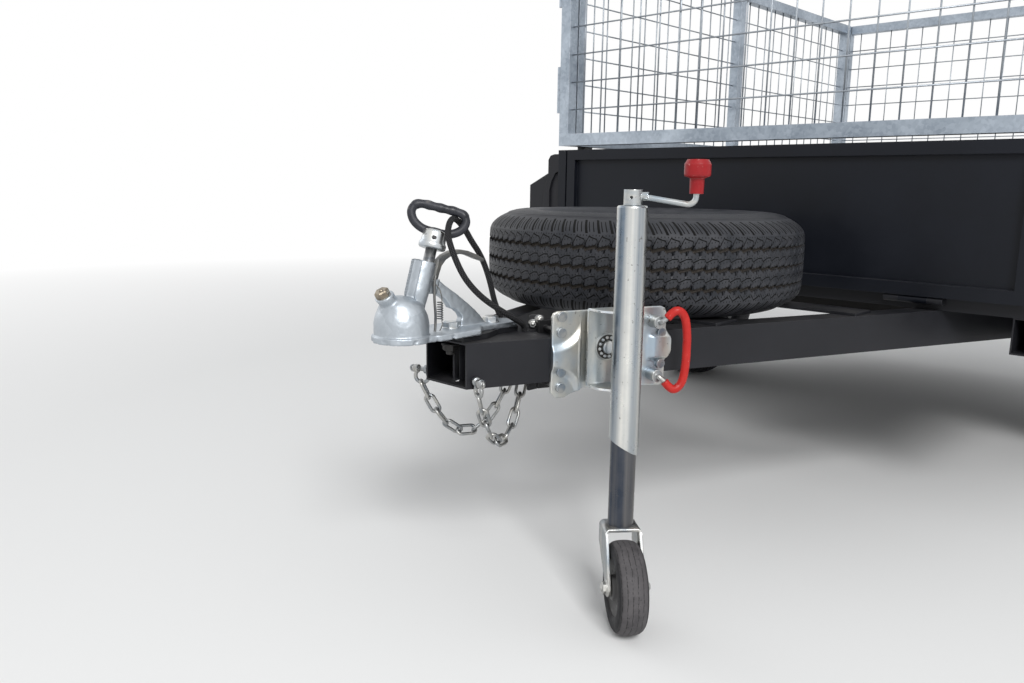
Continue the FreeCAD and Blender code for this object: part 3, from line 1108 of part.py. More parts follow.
def link_shape():
    """One link along X: a round bar bent into an eight-sided ring."""
    bar = val("link_wire") / 2
    a, b = val("link_length") / 2 - bar, val("link_width") / 2 - bar
    c = 0.62 * b
    ring = [(a, -b + c), (a, b - c), (a - c, b), (-a + c, b), (-a, b - c), (-a, -b + c), (-a + c, -b),
            (a - c, -b)]
    start = FreeCAD.Vector(a, 0, 0)
    corners = [start + FreeCAD.Vector(bar * math.cos(t), 0, bar * math.sin(t)) for t in
               [math.radians(60 * k + 30) for k in range(6)]]
    path = Part.makePolygon([start] + [FreeCAD.Vector(x, y, 0) for x, y in ring[1:] + ring[:1]] + [start])
    section = Part.makePolygon(corners + corners[:1])
    return path.makePipeShell([section], True, False, 1)


def chain(hang, rest, outward, across):
    """Links along a hanging curve, each turned a quarter from the last; the sag is solved for a whole count.
    The first link hangs on a bow that points outward and the last on a bar that points across, and each of
    the two bears on its bar along its own length."""
    pitch = val("link_length - 2 * link_wire - seat_gap")
    bearing = val("shackle_wire + seat_gap / 2")

    def walk(start, end, sag):
        spots, share = [start], 0.0
        for count in range(LINKS):
            low, high = share, share + 1.5
            for attempt in range(40):
                middle = (low + high) / 2
                here = start + (end - start) * middle - FreeCAD.Vector(0, 0, 4 * sag * middle * (1 - middle))
                low, high = (middle, high) if (here - spots[-1]).Length < pitch else (low, middle)
            share = (low + high) / 2
            spots.append(here)
        return spots, share

    first, last = FreeCAD.Vector(0, 0, -1), FreeCAD.Vector(0, 0, 1)
    for fitting in range(4):
        start, end = hang - first * bearing, rest + last * bearing
        low, high = 10.0, 400.0
        for attempt in range(40):
            sag = (low + high) / 2
            spots, share = walk(start, end, sag)
            low, high = (sag, high) if share > 1 else (low, sag)
        first, last = (spots[1] - spots[0]).normalize(), (spots[-1] - spots[-2]).normalize()
    made = []
    for i in range(LINKS):
        direction = (spots[i + 1] - spots[i]).normalize()
        facing = outward + (across - outward) * (i / (LINKS - 1))
        normal = (facing - direction * facing.dot(direction)).normalize()
        if i % 2:
            normal = direction.cross(normal)
        turn = FreeCAD.Rotation(direction, normal.cross(direction), normal, "XZY")
        made.append(settled(link_shape(), (spots[i] + spots[i + 1]) * 0.5, turn))
    return Part.makeCompound(made)


shackles = []
for name, side in SIDES:
    thin, legs, drop = val("shackle_wire"), val("shackle_gap"), val("shackle_drop")
    out_way = spot(on_member(side, "0", "1", "0")) - spot(on_member(side, "0", "0", "0"))
    pin_at = spot(on_member(side, "14", "0", "14 - rail_height"))
    near, far = pin_at + out_way * 8, pin_at + out_way * (8 + legs)
    low = up * (-drop)
    bow = bent_rod([near, near + low, far + low, far], thin, [legs / 2 - 0.01, legs / 2 - 0.01])
    pin = Part.makeCylinder(thin + 1, 8 + legs + 7, pin_at, out_way)
    shackles.append(bow.fuse([pin]).removeSplitter())
    hang = (near + far) * 0.5 + low
    rest = spot(at_nose(f"{side} * 16", "hang_back", "-rail_height - hang_drop"))
    node(f"safety_chain_{name}", solid(f"safety_chain_{name}",
                                       chain(hang, rest, out_way, FreeCAD.Vector(side, 0, 0))))
node("chain_shackles", solid("chain_shackles", Part.makeCompound(shackles)))

# Lead: its two ends come out of the nose plate, and its loop hangs over the handle's ring
TAB_TURN = "45"
bracket = [
    block("lead_tab", at_nose(36, "178", "14"), ("26", "4", "28"), TAB_TURN),
    rod("lead_bolt_0", at_nose(31.5, "173.5", "12"), "5", "18", f"{TAB_TURN} - 90"),
    rod("lead_bolt_1", at_nose(39, "181", "20"), "5", "18", f"{TAB_TURN} - 90"),
]
node("lead_bracket", fuse("lead_bracket", bracket))
ROUTE = [(27, 157, 0.3), (27, 157, 10), (32, 141, 18), (36, 116, 30), (37, 85, 46), (38, 54, 63),
         (38, 27, 83),
         (38, 5, 105), (36, -10, 131), (30, -18, 158), (25, -18.5, 176), (20, -10, 191), (14.5, 2.5, 197.5),
         (10.5, 16, 193), (10, 31, 180), (8, 49, 158), (-6, 79, 138), (-13, 101, 112), (-18, 118, 81),
         (-24, 132, 53),
         (-28, 146, 31), (-30, 158, 13), (-30, 158, 0.3)]
points = [spot(at_nose(*place_text)) for place_text in ROUTE]
radii = []
for i in range(1, len(points) - 1):
    back, ahead = points[i - 1] - points[i], points[i + 1] - points[i]
    half = (math.pi - back.getAngle(ahead)) / 2
    radii.append(0.45 * min(back.Length, ahead.Length) / math.tan(half))
print("lead radii", [round(radius) for radius in radii])
path, lead_length = rounded_path(points, radii)
print("lead length", round(lead_length))
node("lead", solid("lead", bent_rod(points, val("lead_radius"), radii)))

doc.recompute()
for thing in doc.Objects:
    if "Invalid" in thing.State or "Error" in thing.State:
        raise RuntimeError(f"{thing.Label} did not build: {thing.State}")
for label, thing in nodes.items():
    shape = thing.Shape
    if shape.isNull() or not shape.isValid() or not shape.Solids:
        raise RuntimeError(f"{label} has no valid shape")
for label, thing in nodes.items():
    thing.Shape.exportStep(f"parts/{label}.step")
print(len(nodes), "nodes")
whole = Part.makeCompound([thing.Shape for thing in nodes.values()]).BoundBox
print("box", [round(v, 2) for v in (whole.XMin, whole.XMax, whole.YMin, whole.YMax, whole.ZMin, whole.ZMax)])
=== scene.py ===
import math

import bmesh
import bpy
from mathutils import Matrix, Vector, noise


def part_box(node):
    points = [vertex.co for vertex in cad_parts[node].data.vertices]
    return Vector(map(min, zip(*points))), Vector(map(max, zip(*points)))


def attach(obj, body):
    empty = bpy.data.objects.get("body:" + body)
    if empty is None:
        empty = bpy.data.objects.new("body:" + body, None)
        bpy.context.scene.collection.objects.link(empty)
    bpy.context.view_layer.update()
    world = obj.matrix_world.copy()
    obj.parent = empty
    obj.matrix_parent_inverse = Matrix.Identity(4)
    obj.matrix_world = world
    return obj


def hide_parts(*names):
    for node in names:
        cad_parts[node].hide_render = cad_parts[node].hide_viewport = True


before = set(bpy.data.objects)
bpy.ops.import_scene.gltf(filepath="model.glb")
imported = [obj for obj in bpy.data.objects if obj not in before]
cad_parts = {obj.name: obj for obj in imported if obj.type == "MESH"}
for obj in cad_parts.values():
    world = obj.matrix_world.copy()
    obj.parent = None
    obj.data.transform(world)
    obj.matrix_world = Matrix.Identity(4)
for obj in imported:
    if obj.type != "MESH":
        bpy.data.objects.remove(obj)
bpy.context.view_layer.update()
scene = bpy.context.scene

# Camera: it stands ahead of the trailer's left front corner, at chest height, and looks along the drawbar.
# Its place, lean and lens are fitted to the photo.
AZIMUTH, DIP, ROLL = math.radians(44.3), math.radians(10.5), math.radians(0.8)
EYE = Vector((1.0186, -2.2623, 0.7134))
SENSOR_MM, LENS_MM = 36, 29.52
right = Vector((math.cos(AZIMUTH), math.sin(AZIMUTH), 0))
ahead = Vector((-math.sin(AZIMUTH) * math.cos(DIP), math.cos(AZIMUTH) * math.cos(DIP), -math.sin(DIP)))
above = right.cross(ahead)
side_axis = right * math.cos(ROLL) + above * math.sin(ROLL)
top_axis = above * math.cos(ROLL) - right * math.sin(ROLL)
lens = bpy.data.cameras.new("camera")
lens.sensor_width = SENSOR_MM
lens.lens = LENS_MM
camera = bpy.data.objects.new("camera", lens)
camera.matrix_world = Matrix.Translation(EYE) @ Matrix((side_axis, top_axis, -ahead)).transposed().to_4x4()
scene.collection.objects.link(camera)
scene.camera = camera


# Breakaway lead: a thin black cable in a woven nylon sleeve. It comes up out of the nose plate, runs beside
# the casting, loops over the coupling's handle and goes back down into the plate on the other side.
class Wire:
    """A value that varies over a surface. Wires are added, multiplied and compared like numbers."""

    def __init__(self, socket):
        self.socket = socket
        self.tree = socket.id_data

    def calc(self, operation, *others):
        return wire(self.tree, "Math", dict(enumerate((self, *others))), operation=operation)

    def __add__(self, other):
        return self.calc("ADD", other)

    def __sub__(self, other):
        return self.calc("SUBTRACT", other)

    def __mul__(self, other):
        return self.calc("MULTIPLY", other)

    def __truediv__(self, other):
        return self.calc("DIVIDE", other)

    def __gt__(self, other):
        return self.calc("GREATER_THAN", other)

    def __lt__(self, other):
        return self.calc("LESS_THAN", other)

    def __abs__(self):
        return self.calc("ABSOLUTE")

    def spread(self, low, high, to_low=0.0, to_high=1.0):
        """Stretches the range from low to high over another one, and holds it at the ends."""
        return wire(self.tree, "MapRange", {0: self, 1: low, 2: high, 3: to_low, 4: to_high})

    def blend(self, under, over):
        """The colour under where this wire is 0, and the colour over where it is 1."""
        return wire(self.tree, "Mix", {0: self, 6: under, 7: over}, 2, data_type="RGBA")


def place_node(tree, kind, feeds=None, **settings):
    """A new node whose inputs are fed by wires or set to plain values."""
    made = tree.nodes.new("ShaderNode" + kind)
    for setting, value in settings.items():
        setattr(made, setting, value)
    for label, source in (feeds or {}).items():
        if isinstance(source, Wire):
            tree.links.new(source.socket, made.inputs[label])
        elif made.inputs[label].type == "RGBA":
            made.inputs[label].default_value = (*source, 1)
        else:
            made.inputs[label].default_value = source
    return made


def wire(tree, kind, feeds=None, out=0, **settings):
    return Wire(place_node(tree, kind, feeds, **settings).outputs[out])


def where(tree):
    """The place on the piece, in metres of the trailer's frame."""
    return wire(tree, "TexCoord", out="Object")


def parts_of(vector):
    return [Wire(part) for part in place_node(vector.tree, "SeparateXYZ", {0: vector}).outputs]


def cloud(tree, scale, detail=2.0, spot=None, out=0, **more):
    """Cloudy noise over the piece, or over another place that is given."""
    feeds = {"Vector": where(tree) if spot is None else spot, "Scale": scale, "Detail": detail, **more}
    return wire(tree, "TexNoise", feeds, out)


def bump(height, strength, depth, **more):
    return wire(height.tree, "Bump", {"Strength": strength, "Distance": depth, "Height": height, **more})


def feed(inputs, **wires):
    for label, source in wires.items():
        source.tree.links.new(source.socket, inputs[label.replace("_", " ")])


def new_finish(name, **settings):
    """A new finish: its material, its node tree and the inputs of its shader."""
    made = bpy.data.materials.new(name)
    made.use_nodes = True
    inputs = made.node_tree.nodes["Principled BSDF"].inputs
    for label, value in settings.items():
        inputs[label.replace("_", " ")].default_value = value
    return made, made.node_tree, inputs


def piece_of(name, mesh, body, *covered):
    """A piece that rides on a body and stands in for the CAD nodes that it covers."""
    piece = bpy.data.objects.new(name, mesh)
    scene.collection.objects.link(piece)
    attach(piece, body)
    if covered:
        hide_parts(*covered)
    return piece


LEAD_ROUTE = [
    (0.027, -1.216, 0.4653), (0.027, -1.216, 0.475), (0.032, -1.232, 0.483), (0.036, -1.257, 0.495),
    (0.037, -1.288, 0.511), (0.038, -1.319, 0.528), (0.038, -1.346, 0.548), (0.038, -1.368, 0.57),
    (0.036, -1.383, 0.596), (0.03, -1.391, 0.623), (0.025, -1.3915, 0.641), (0.02, -1.383, 0.656),
    (0.0145, -1.3705, 0.6625), (0.0105, -1.357, 0.658), (0.01, -1.342, 0.645), (0.008, -1.324, 0.623),
    (-0.006, -1.294, 0.603), (-0.013, -1.272, 0.577), (-0.018, -1.255, 0.546), (-0.024, -1.241, 0.518),
    (-0.028, -1.227, 0.496), (-0.03, -1.215, 0.478), (-0.03, -1.215, 0.4653),
]
LEAD_LENGTH, LEAD_THICK = 0.563, 0.010
STRANDS_ROUND, STRANDS_ALONG = 9, 120
line = bpy.data.curves.new("lead", "CURVE")
line.dimensions = "3D"
line.bevel_depth = 1
line.bevel_resolution = 5
line.resolution_u = 12
run = line.splines.new("NURBS")
run.points.add(len(LEAD_ROUTE) - 1)
for point, place in zip(run.points, LEAD_ROUTE):
    point.co = (*place, 1)
    point.radius = LEAD_THICK / 2
run.order_u = 3
run.use_endpoint_u = True
lead = piece_of("lead_cable", line, "chassis", "lead")

lead_finish, tree, skin = new_finish("woven_sleeve", Roughness=0.6, Specular_IOR_Level=0.18)
along, around, _ = parts_of(wire(tree, "TexCoord", out="UV"))
strands = [along * STRANDS_ALONG + around * lay for lay in (STRANDS_ROUND, -STRANDS_ROUND)]
waves = [abs((strand * math.pi).calc("SINE")) for strand in strands]
weave = waves[0] * waves[1]
fuzz = cloud(tree, 900.0)
thread = weave.spread(0.2, 0.8).blend((0.001, 0.001, 0.0013), (0.070, 0.070, 0.076))
feed(skin, Base_Color=(fuzz * 0.12).blend(thread, (0.10, 0.098, 0.095)),
     Roughness=fuzz.spread(0.3, 0.7, 0.5, 0.8), Normal=bump(weave, 1.0, 0.0016))
line.materials.append(lead_finish)


# Floor and backdrop: a pale sheet that turns to plain white well outside the trailer's shadow.
# It is one large level plane at the foot of the tyres.
def either(first, *others):
    """1 where any of the masks is 1."""
    for other in others:
        first = first.calc("MAXIMUM", other)
    return first


def seen(tree):
    """1 for what the camera sees, also in a bright or clear surface, and 0 for the light that things get."""
    rays = place_node(tree, "LightPath").outputs
    return either(*(Wire(rays[f"Is {kind} Ray"]) for kind in ("Camera", "Glossy", "Transmission")))


scene.view_settings.view_transform = "Standard"
FLOOR_HALF, FLOOR_PALE, WHITE_FROM, WHITE_AT = 60, (0.80, 0.80, 0.795, 1), 2.2, 6.5
WHITE = (1, 1, 1)
ground = bpy.data.meshes.new("floor")
floor_corners = [(x * FLOOR_HALF, y * FLOOR_HALF, 0) for x, y in ((-1, -1), (1, -1), (1, 1), (-1, 1))]
ground.from_pydata(floor_corners, [], [(0, 1, 2, 3)])
floor = bpy.data.objects.new("floor", ground)
scene.collection.objects.link(floor)
floor_finish, tree, skin = new_finish("pale_floor", Base_Color=FLOOR_PALE, Roughness=0.85)
away = wire(tree, "VectorMath", {0: where(tree)}, "Value", operation="LENGTH")
white = wire(tree, "Emission", {"Color": WHITE, "Strength": 1.0})
plain = Wire(tree.nodes["Principled BSDF"].outputs[0])
sheet = wire(tree, "MixShader", {0: away.spread(WHITE_FROM, WHITE_AT) * seen(tree), 1: plain, 2: white})
feed(tree.nodes["Material Output"].inputs, Surface=sheet)
ground.materials.append(floor_finish)

# Light: a plain white sky, one broad soft lamp over the left front corner and a weak one from the right.
# They give soft reflections and a faint shadow under the trailer.
SKY_TONE, SKY_STRENGTH = (0.97, 0.985, 1), 0.60
world = bpy.data.worlds.new("studio")
scene.world = world
world.use_nodes = True
tree = world.node_tree
soft = wire(tree, "Background", {"Strength": SKY_STRENGTH, "Color": SKY_TONE})
backdrop = wire(tree, "Background", {"Strength": 1.0, "Color": WHITE})
sky = wire(tree, "MixShader", {0: seen(tree), 1: soft, 2: backdrop})
feed(tree.nodes["World Output"].inputs, Surface=sky)
for name, place, target, size, power in (("key", (4.3, -3.9, 4.2), (0, -0.6, 0.5), 2.0, 300),
                                         ("fill", (-5.0, -2.0, 3.0), (0, 0, 0.6), 3.0, 35)):
    light = bpy.data.lights.new(name, "AREA")
    light.size = size
    light.energy = power
    lamp = bpy.data.objects.new(name, light)
    lamp.location = place
    lamp.rotation_mode = "QUATERNION"
    lamp.rotation_quaternion = (Vector(target) - Vector(place)).to_track_quat("-Z", "Y")
    scene.collection.objects.link(lamp)


# Painted steel: box-section drawbar and chassis rails, the nose plates and the load floor's frame, welded up
# and sprayed satin charcoal. Edges and corners rub bright first and also carry a painted highlight, and fine
# road dust settles on what faces up.
def new_effect(name, inputs, **outputs):
    """A shared effect: its node tree, its inputs as wires and its outputs, still to be fed."""
    tree = bpy.data.node_groups.new(name, "ShaderNodeTree")
    for label, value in inputs.items():
        kind = "NodeSocketFloat" if isinstance(value, float) else "NodeSocketVector"
        tree.interface.new_socket(name=label, in_out="INPUT", socket_type=kind).default_value = value
    for label, kind in outputs.items():
        tree.interface.new_socket(name=label, in_out="OUTPUT", socket_type="NodeSocket" + kind)
    given = {out.name: Wire(out) for out in tree.nodes.new("NodeGroupInput").outputs}
    return tree, given, tree.nodes.new("NodeGroupOutput").inputs


def effect(tree, group, **values):
    return {out.name: Wire(out) for out in place_node(tree, "Group", values, node_tree=group).outputs}


def vector_calc(operation, first, second, out=0):
    return wire(first.tree, "VectorMath", {0: first, 1: second}, out, operation=operation)


# Edge mask: lighter colour along rounded edges, partly rubbed bright and partly a painted highlight.
edge_wear_and_highlight, given, result = new_effect("edge_wear_and_highlight", {"Radius": 0.0015, "Grain": 70.0},
                                      Edge="Float", Normal="Vector")
rounded = wire(edge_wear_and_highlight, "Bevel", {"Radius": given["Radius"]}, samples=6)
turn = vector_calc("DOT_PRODUCT", rounded, wire(edge_wear_and_highlight, "NewGeometry", out="Normal"), "Value")
speck = cloud(edge_wear_and_highlight, given["Grain"], 4.0)
feed(result, Edge=turn.spread(0.995, 0.86) * speck.spread(0.36, 0.62), Normal=rounded)

dusting, given, result = new_effect("dusting", {"Scale": 9.0, "Height": 0.5}, Dust="Float", Cloud="Float")
facing = parts_of(wire(dusting, "NewGeometry", out="Normal"))[2]
level = parts_of(where(dusting))[2]
drift = cloud(dusting, given["Scale"], 6.0, Roughness=0.62)
settled = facing.spread(0.5, 1.0) * 0.55 + level.spread(given["Height"], 0.0) * 0.5
feed(result, Dust=settled * drift.spread(0.38, 0.68), Cloud=drift)
DUST_TONE = (0.11, 0.105, 0.098)


def painted(name, tone, edge_tone, gloss=0.42, dust=0.4, radius=0.0015, metal=0.0):
    made, tree, skin = new_finish(name, Metallic=metal, Specular_IOR_Level=0.22)
    wear_and_highlight = effect(tree, edge_wear_and_highlight, Radius=radius, Grain=55.0)
    film = effect(tree, dusting, Scale=7.0, Height=0.42)
    coat = film["Cloud"].spread(0.3, 0.7).blend([part * 0.72 for part in tone], tone)
    coat = (film["Dust"] * dust).blend(coat, DUST_TONE)
    matt = film["Cloud"].spread(0.3, 0.7, gloss - 0.06, gloss + 0.07) + film["Dust"] * 0.3
    # Painted highlight and rubbed paint: the edges blend towards edge_tone.
    feed(skin, Base_Color=(wear_and_highlight["Edge"] * 0.75).blend(coat, edge_tone), Roughness=matt,
         Normal=bump(cloud(tree, 420.0), 0.10, 0.0004, Normal=wear_and_highlight["Normal"]))
    return made


def dress(finish, *names):
    for name in names:
        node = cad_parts[name]
        if not node.material_slots:
            node.data.materials.append(None)
        for place in node.material_slots:
            place.material = finish


rail_paint = painted("satin_rail_paint", (0.017, 0.0175, 0.021), (0.060, 0.061, 0.067), 0.40)
dress(rail_paint, "drawbar_left", "drawbar_right", "nose_plates", "chassis_rails", "floor_cross_members",
      "rear_cross_plate", "spare_plates", "corner_plates", "gate_knuckles")

# Load floor and panels: 2 mm sheet between square rails, sprayed the same charcoal, a shade bluer on the wide
# sides and gates. The floor sheet is scuffed by loads.
panel_paint = painted("satin_panel_paint", (0.0065, 0.008, 0.0125), (0.042, 0.045, 0.054), 0.42, 0.25, 0.0012)
dress(panel_paint, "side_panel_left", "side_panel_right", "front_gate", "tailgate")
floor_paint = painted("scuffed_floor_paint", (0.024, 0.025, 0.028), (0.09, 0.09, 0.095), 0.55, 0.9)
dress(floor_paint, "floor_sheet")

# Mudguards: rolled 2 mm sheet with a turned lip, painted, with dust from the road towards the lower edge.
# Each is fixed along its inner edge to the body's side.
guard_paint = painted("mudguard_paint", (0.011, 0.012, 0.015), (0.055, 0.057, 0.063), 0.36, 0.6)
dress(guard_paint, "mudguard_left", "mudguard_right")

# Springs and axle: forged and rolled steel under the floor, brushed black, dull, with grey dust and brown
# edges. The leaves are clamped to the axle and hang on welded plates.
axle_paint = painted("dull_axle_paint", (0.016, 0.015, 0.015), (0.09, 0.065, 0.05), 0.62, 1.3, 0.002)
dress(axle_paint, "axle_beam", "leaf_spring_left", "leaf_spring_right", "spring_hangers")

# Cage: welded box section and mesh, dipped in molten zinc, which freezes in a flowery spangle and weathers
# grey. The springs' clips are dipped too.
spangle, given, result = new_effect("spangle", {"Size": 55.0, "Warp": 0.4}, Flower="Float", Grey="Float",
                                    Height="Float")
drift = cloud(spangle, 30.0, 3.0, out="Color")
shift = wire(spangle, "VectorMath", {0: drift, "Scale": 0.012}, operation="SCALE")
bent = vector_calc("ADD", where(spangle), shift)
flower = wire(spangle, "TexVoronoi", {"Vector": bent, "Scale": given["Size"], "Randomness": 1.0}, "Color")
petal = wire(spangle, "SeparateColor", {0: flower})
stain = cloud(spangle, 4.5, 7.0, Roughness=0.6, Distortion=given["Warp"])
feed(result, Flower=petal, Grey=stain.spread(0.33, 0.67), Height=petal * 0.35 + cloud(spangle, 260.0, 3.0))


def galvanised(name, pale, dull, gloss, size=55.0, metal=0.75, bump_by=0.18):
    made, tree, skin = new_finish(name, Metallic=metal)
    zinc = effect(tree, spangle, Size=size, Warp=0.5)
    wear_and_highlight = effect(tree, edge_wear_and_highlight, Radius=0.0016, Grain=40.0)
    share = zinc["Flower"] * 0.26 + zinc["Grey"] * 0.74
    # Painted highlight and rubbed zinc: the edges blend towards a pale grey.
    feed(skin, Base_Color=(wear_and_highlight["Edge"] * 0.45).blend(share.blend(dull, pale), (0.78, 0.80, 0.81)),
         Roughness=share.spread(0.0, 1.0, gloss + 0.13, gloss - 0.05),
         Normal=bump(zinc["Height"], bump_by, 0.0006, Normal=wear_and_highlight["Normal"]))
    return made


cage_zinc = galvanised("hot_dip_zinc", (0.50, 0.56, 0.63), (0.22, 0.26, 0.31), 0.40, 130.0)
dress(cage_zinc, "cage_side_left", "cage_side_right", "cage_gate_front", "cage_gate_rear")
clip_zinc = galvanised("clip_zinc", (0.50, 0.52, 0.54), (0.22, 0.23, 0.24), 0.46)
dress(clip_zinc, "spring_clips")


# Cage mesh: drawn round wire, dipped in zinc like the frame. The level wires are welded to the outside of the
# uprights, and each wire runs straight across its opening in the frame.
def islands(node):
    """The separate solids of a CAD node, each as a list of its corners."""
    form = bmesh.new()
    form.from_mesh(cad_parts[node].data)
    bmesh.ops.remove_doubles(form, verts=form.verts[:], dist=1e-6)
    left, groups = set(form.verts), []
    for first in form.verts:
        queue, group = [first] if first in left else [], []
        left.discard(first)
        while queue:
            corner = queue.pop()
            group.append(corner.co.copy())
            for edge in corner.link_edges:
                other = edge.other_vert(corner)
                if other in left:
                    left.remove(other)
                    queue.append(other)
        if group:
            groups.append(group)
    form.free()
    return groups


def turns(count):
    return [2 * math.pi * step / count for step in range(count)]


def skin_between(form, near, far, paint=0, smooth=True):
    """Faces from one ring of corners to the next; a ring of one corner closes to a point."""
    sides = max(len(near), len(far))
    for side in range(sides):
        after = (side + 1) % sides
        corners = (near[side % len(near)], near[after % len(near)],
                   far[after % len(far)], far[side % len(far)])
        face = form.faces.new(list(dict.fromkeys(corners)))
        face.smooth, face.material_index = smooth, paint


def cap_ends(form, rings, paint=0):
    form.faces.new(rings[0][::-1]).material_index = paint
    form.faces.new(rings[-1]).material_index = paint


def sweep(form, path, size, sides=12, closed=False, flatten=1.0, up=None, paint=0):
    """A bar of round or oval section along a path; size is its radius, or one radius for each point."""
    count = len(path)
    sizes = size if isinstance(size, (list, tuple)) else [size] * count
    rings, across = [], None
    for index, place in enumerate(path):
        if closed:
            heading = (path[(index + 1) % count] - path[index - 1]).normalized()
        else:
            heading = (path[min(index + 1, count - 1)] - path[max(index - 1, 0)]).normalized()
        if up is not None:
            across = up.cross(heading).normalized()
        elif across is None:
            across = heading.orthogonal().normalized()
        else:
            across = (across - heading * across.dot(heading)).normalized()
        over = heading.cross(across)
        rings.append([form.verts.new(place + (across * math.cos(turn) + over * (math.sin(turn) * flatten))
                                     * sizes[index]) for turn in turns(sides)])
    for index in range(count if closed else count - 1):
        skin_between(form, rings[index], rings[(index + 1) % count], paint)
    if not closed:
        cap_ends(form, rings, paint)


def finished(form, name, body, slot, finishes, *covered):
    """Turns a worked form into a piece."""
    bmesh.ops.recalc_face_normals(form, faces=form.faces[:])
    mesh = bpy.data.meshes.new(name)
    form.to_mesh(mesh)
    form.free()
    for finish in finishes:
        mesh.materials.append(finish)
    piece_of(name, mesh, body, *covered)


mesh_zinc = galvanised("dipped_wire", (0.46, 0.50, 0.54), (0.20, 0.22, 0.25), 0.42, 90.0, 0.7)
for node, body in (("cage_mesh_left", "chassis"), ("cage_mesh_right", "chassis"),
                   ("cage_gate_mesh_front", "cage_front"), ("cage_gate_mesh_rear", "cage_rear")):
    form = bmesh.new()
    for solid in islands(node):
        low = Vector([min(corner[axis] for corner in solid) for axis in range(3)])
        high = Vector([max(corner[axis] for corner in solid) for axis in range(3)])
        reach = high - low
        longest = max(range(3), key=lambda axis: reach[axis])
        ends = [(low + high) / 2, (low + high) / 2]
        ends[0][longest], ends[1][longest] = low[longest], high[longest]
        sweep(form, ends, min(reach) / 2, 8)
    finished(form, node.replace("mesh", "wires"), body, "cage_galvanised", [mesh_zinc], node)


# Cage feet: moulded black rubber blocks that keep the steel cage off the painted rails.
# They stand on the body's top rails.
def mottled(name, scale, dark, pale, matt_low, matt_high):
    """A dull finish between two tones, with its tree, its shader's inputs and the noise between the tones."""
    made, tree, skin = new_finish(name)
    mottle = cloud(tree, scale, 5.0)
    feed(skin, Base_Color=mottle.blend(dark, pale), Roughness=mottle.spread(0.3, 0.7, matt_low, matt_high))
    return made, tree, skin, mottle


foot_rubber, tree, skin, mottle = mottled("foot_rubber", 60.0, (0.008, 0.008, 0.009), (0.032, 0.031, 0.030),
                                          0.55, 0.85)
wear_and_highlight = effect(tree, edge_wear_and_highlight, Radius=0.002, Grain=80.0)
feed(skin, Normal=bump(mottle, 0.3, 0.0005, Normal=wear_and_highlight["Normal"]))
dress(foot_rubber, "cage_feet")

# Tyres: moulded rubber, three wide grooves with sawtooth sides between two block rows and two round
# shoulders. Thin moulded cuts, pin marks and shoulder slots are too fine for the mesh and come from its skin.
# The shade in them, and in the notches bitten into the groove sides, is painted near-black.
TYRE_RADIUS, TREAD_EDGE, CROWN, BLOCKS_ROUND = 0.333, 0.056, 0.0022, 84
BLOCK_PITCH = 2 * math.pi * TYRE_RADIUS / BLOCKS_ROUND
GROOVE_STEP, GROOVE_HALF, GROOVE_DEPTH, SAWTOOTH, TOOTH_REACH = 0.036, 0.0033, 0.0080, 0.0056, 0.0125
GROOVE_PLACES = (-GROOVE_STEP, 0.0, GROOVE_STEP)
BITE_REACH, BITE_DEPTH, STEPS, BITTEN_LEFT, BITTEN_RIGHT = 0.0062, 0.0038, 8, 4, 0
SIDEWALL = [
    (0.061, 0.3292), (0.0665, 0.3262), (0.0715, 0.3218), (0.0765, 0.316), (0.081, 0.3092), (0.085, 0.3018),
    (0.0885, 0.2945), (0.09, 0.292), (0.0912, 0.2905), (0.0932, 0.284), (0.0955, 0.275), (0.097, 0.264),
    (0.0975, 0.254), (0.0969, 0.24), (0.095, 0.227), (0.0932, 0.22), (0.09, 0.212), (0.084, 0.203),
    (0.0775, 0.1965), (0.0735, 0.1925), (0.0712, 0.1885), (0.0711, 0.179),
]


def inside(source, low, high):
    return (source > low) * (source < high)


SHOULDER_FROM, SHOULDER_TO, SLOT_LEAN, SLOT_SHARE = 0.0625, 0.0985, 14.0, 0.20
THIN_FROM, THIN_TO, THIN_PER_BLOCK, THIN_SHARE = 0.0655, 0.0925, 3.0, 0.24
PINS_PER_BLOCK, PIN_ROW, PINS_TO, CUT_HALF = 4.0, 0.009, 0.060, 0.0013
RING_FROM, RING_TO, RINGS_CLOSE = 0.104, 0.150, 1500.0
tyre_rubber, tree, skin = new_finish("tyre_rubber", Specular_IOR_Level=0.20)
around, across, _ = parts_of(wire(tree, "TexCoord", out="UV"))
off = abs(across)
step = (around / BLOCK_PITCH).calc("FRACT")
slot_step = (step + (off - SHOULDER_FROM) * SLOT_LEAN).calc("FRACT")
wide_slot = inside(slot_step, 0.0, SLOT_SHARE) * inside(off, SHOULDER_FROM, SHOULDER_TO)
thin_step = (slot_step * THIN_PER_BLOCK).calc("FRACT")
thin_slot = inside(thin_step, 0.0, THIN_SHARE) * inside(off, THIN_FROM, THIN_TO)
climb = step.spread(0.0, 0.34, 0.043, 0.057) + step.spread(0.34, 1.0, 0.0, -0.0075)
z_cut = inside(off - climb, -CUT_HALF, CUT_HALF)
wander = step.calc("PINGPONG", 0.5) * 0.006 + 0.0165
from_groove = (across + 2 * GROOVE_STEP).calc("MODULO", GROOVE_STEP)
middle_cut = inside(from_groove - wander, -0.0011, 0.0011) * (off < 0.033)
pin_step = abs((step * PINS_PER_BLOCK).calc("FRACT") - 0.5)
pin_row = abs((across / PIN_ROW).calc("FRACT") - 0.5)
pin = (pin_step < 0.13) * (pin_row < 0.15) * (off < PINS_TO)
cuts = either(wide_slot, thin_slot, z_cut, middle_cut, pin * 0.75)
bitten = wire(tree, "Attribute", out="Fac", attribute_name="bite").spread(0.50, 0.85)
in_groove = wire(tree, "Attribute", out="Fac", attribute_name="groove")
rings = (off * RINGS_CLOSE).calc("SINE") * inside(off, RING_FROM, RING_TO)
dirt = cloud(tree, 35.0, 6.0)
rubber = dirt.spread(0.3, 0.7).blend((0.022, 0.024, 0.029), (0.046, 0.047, 0.053))
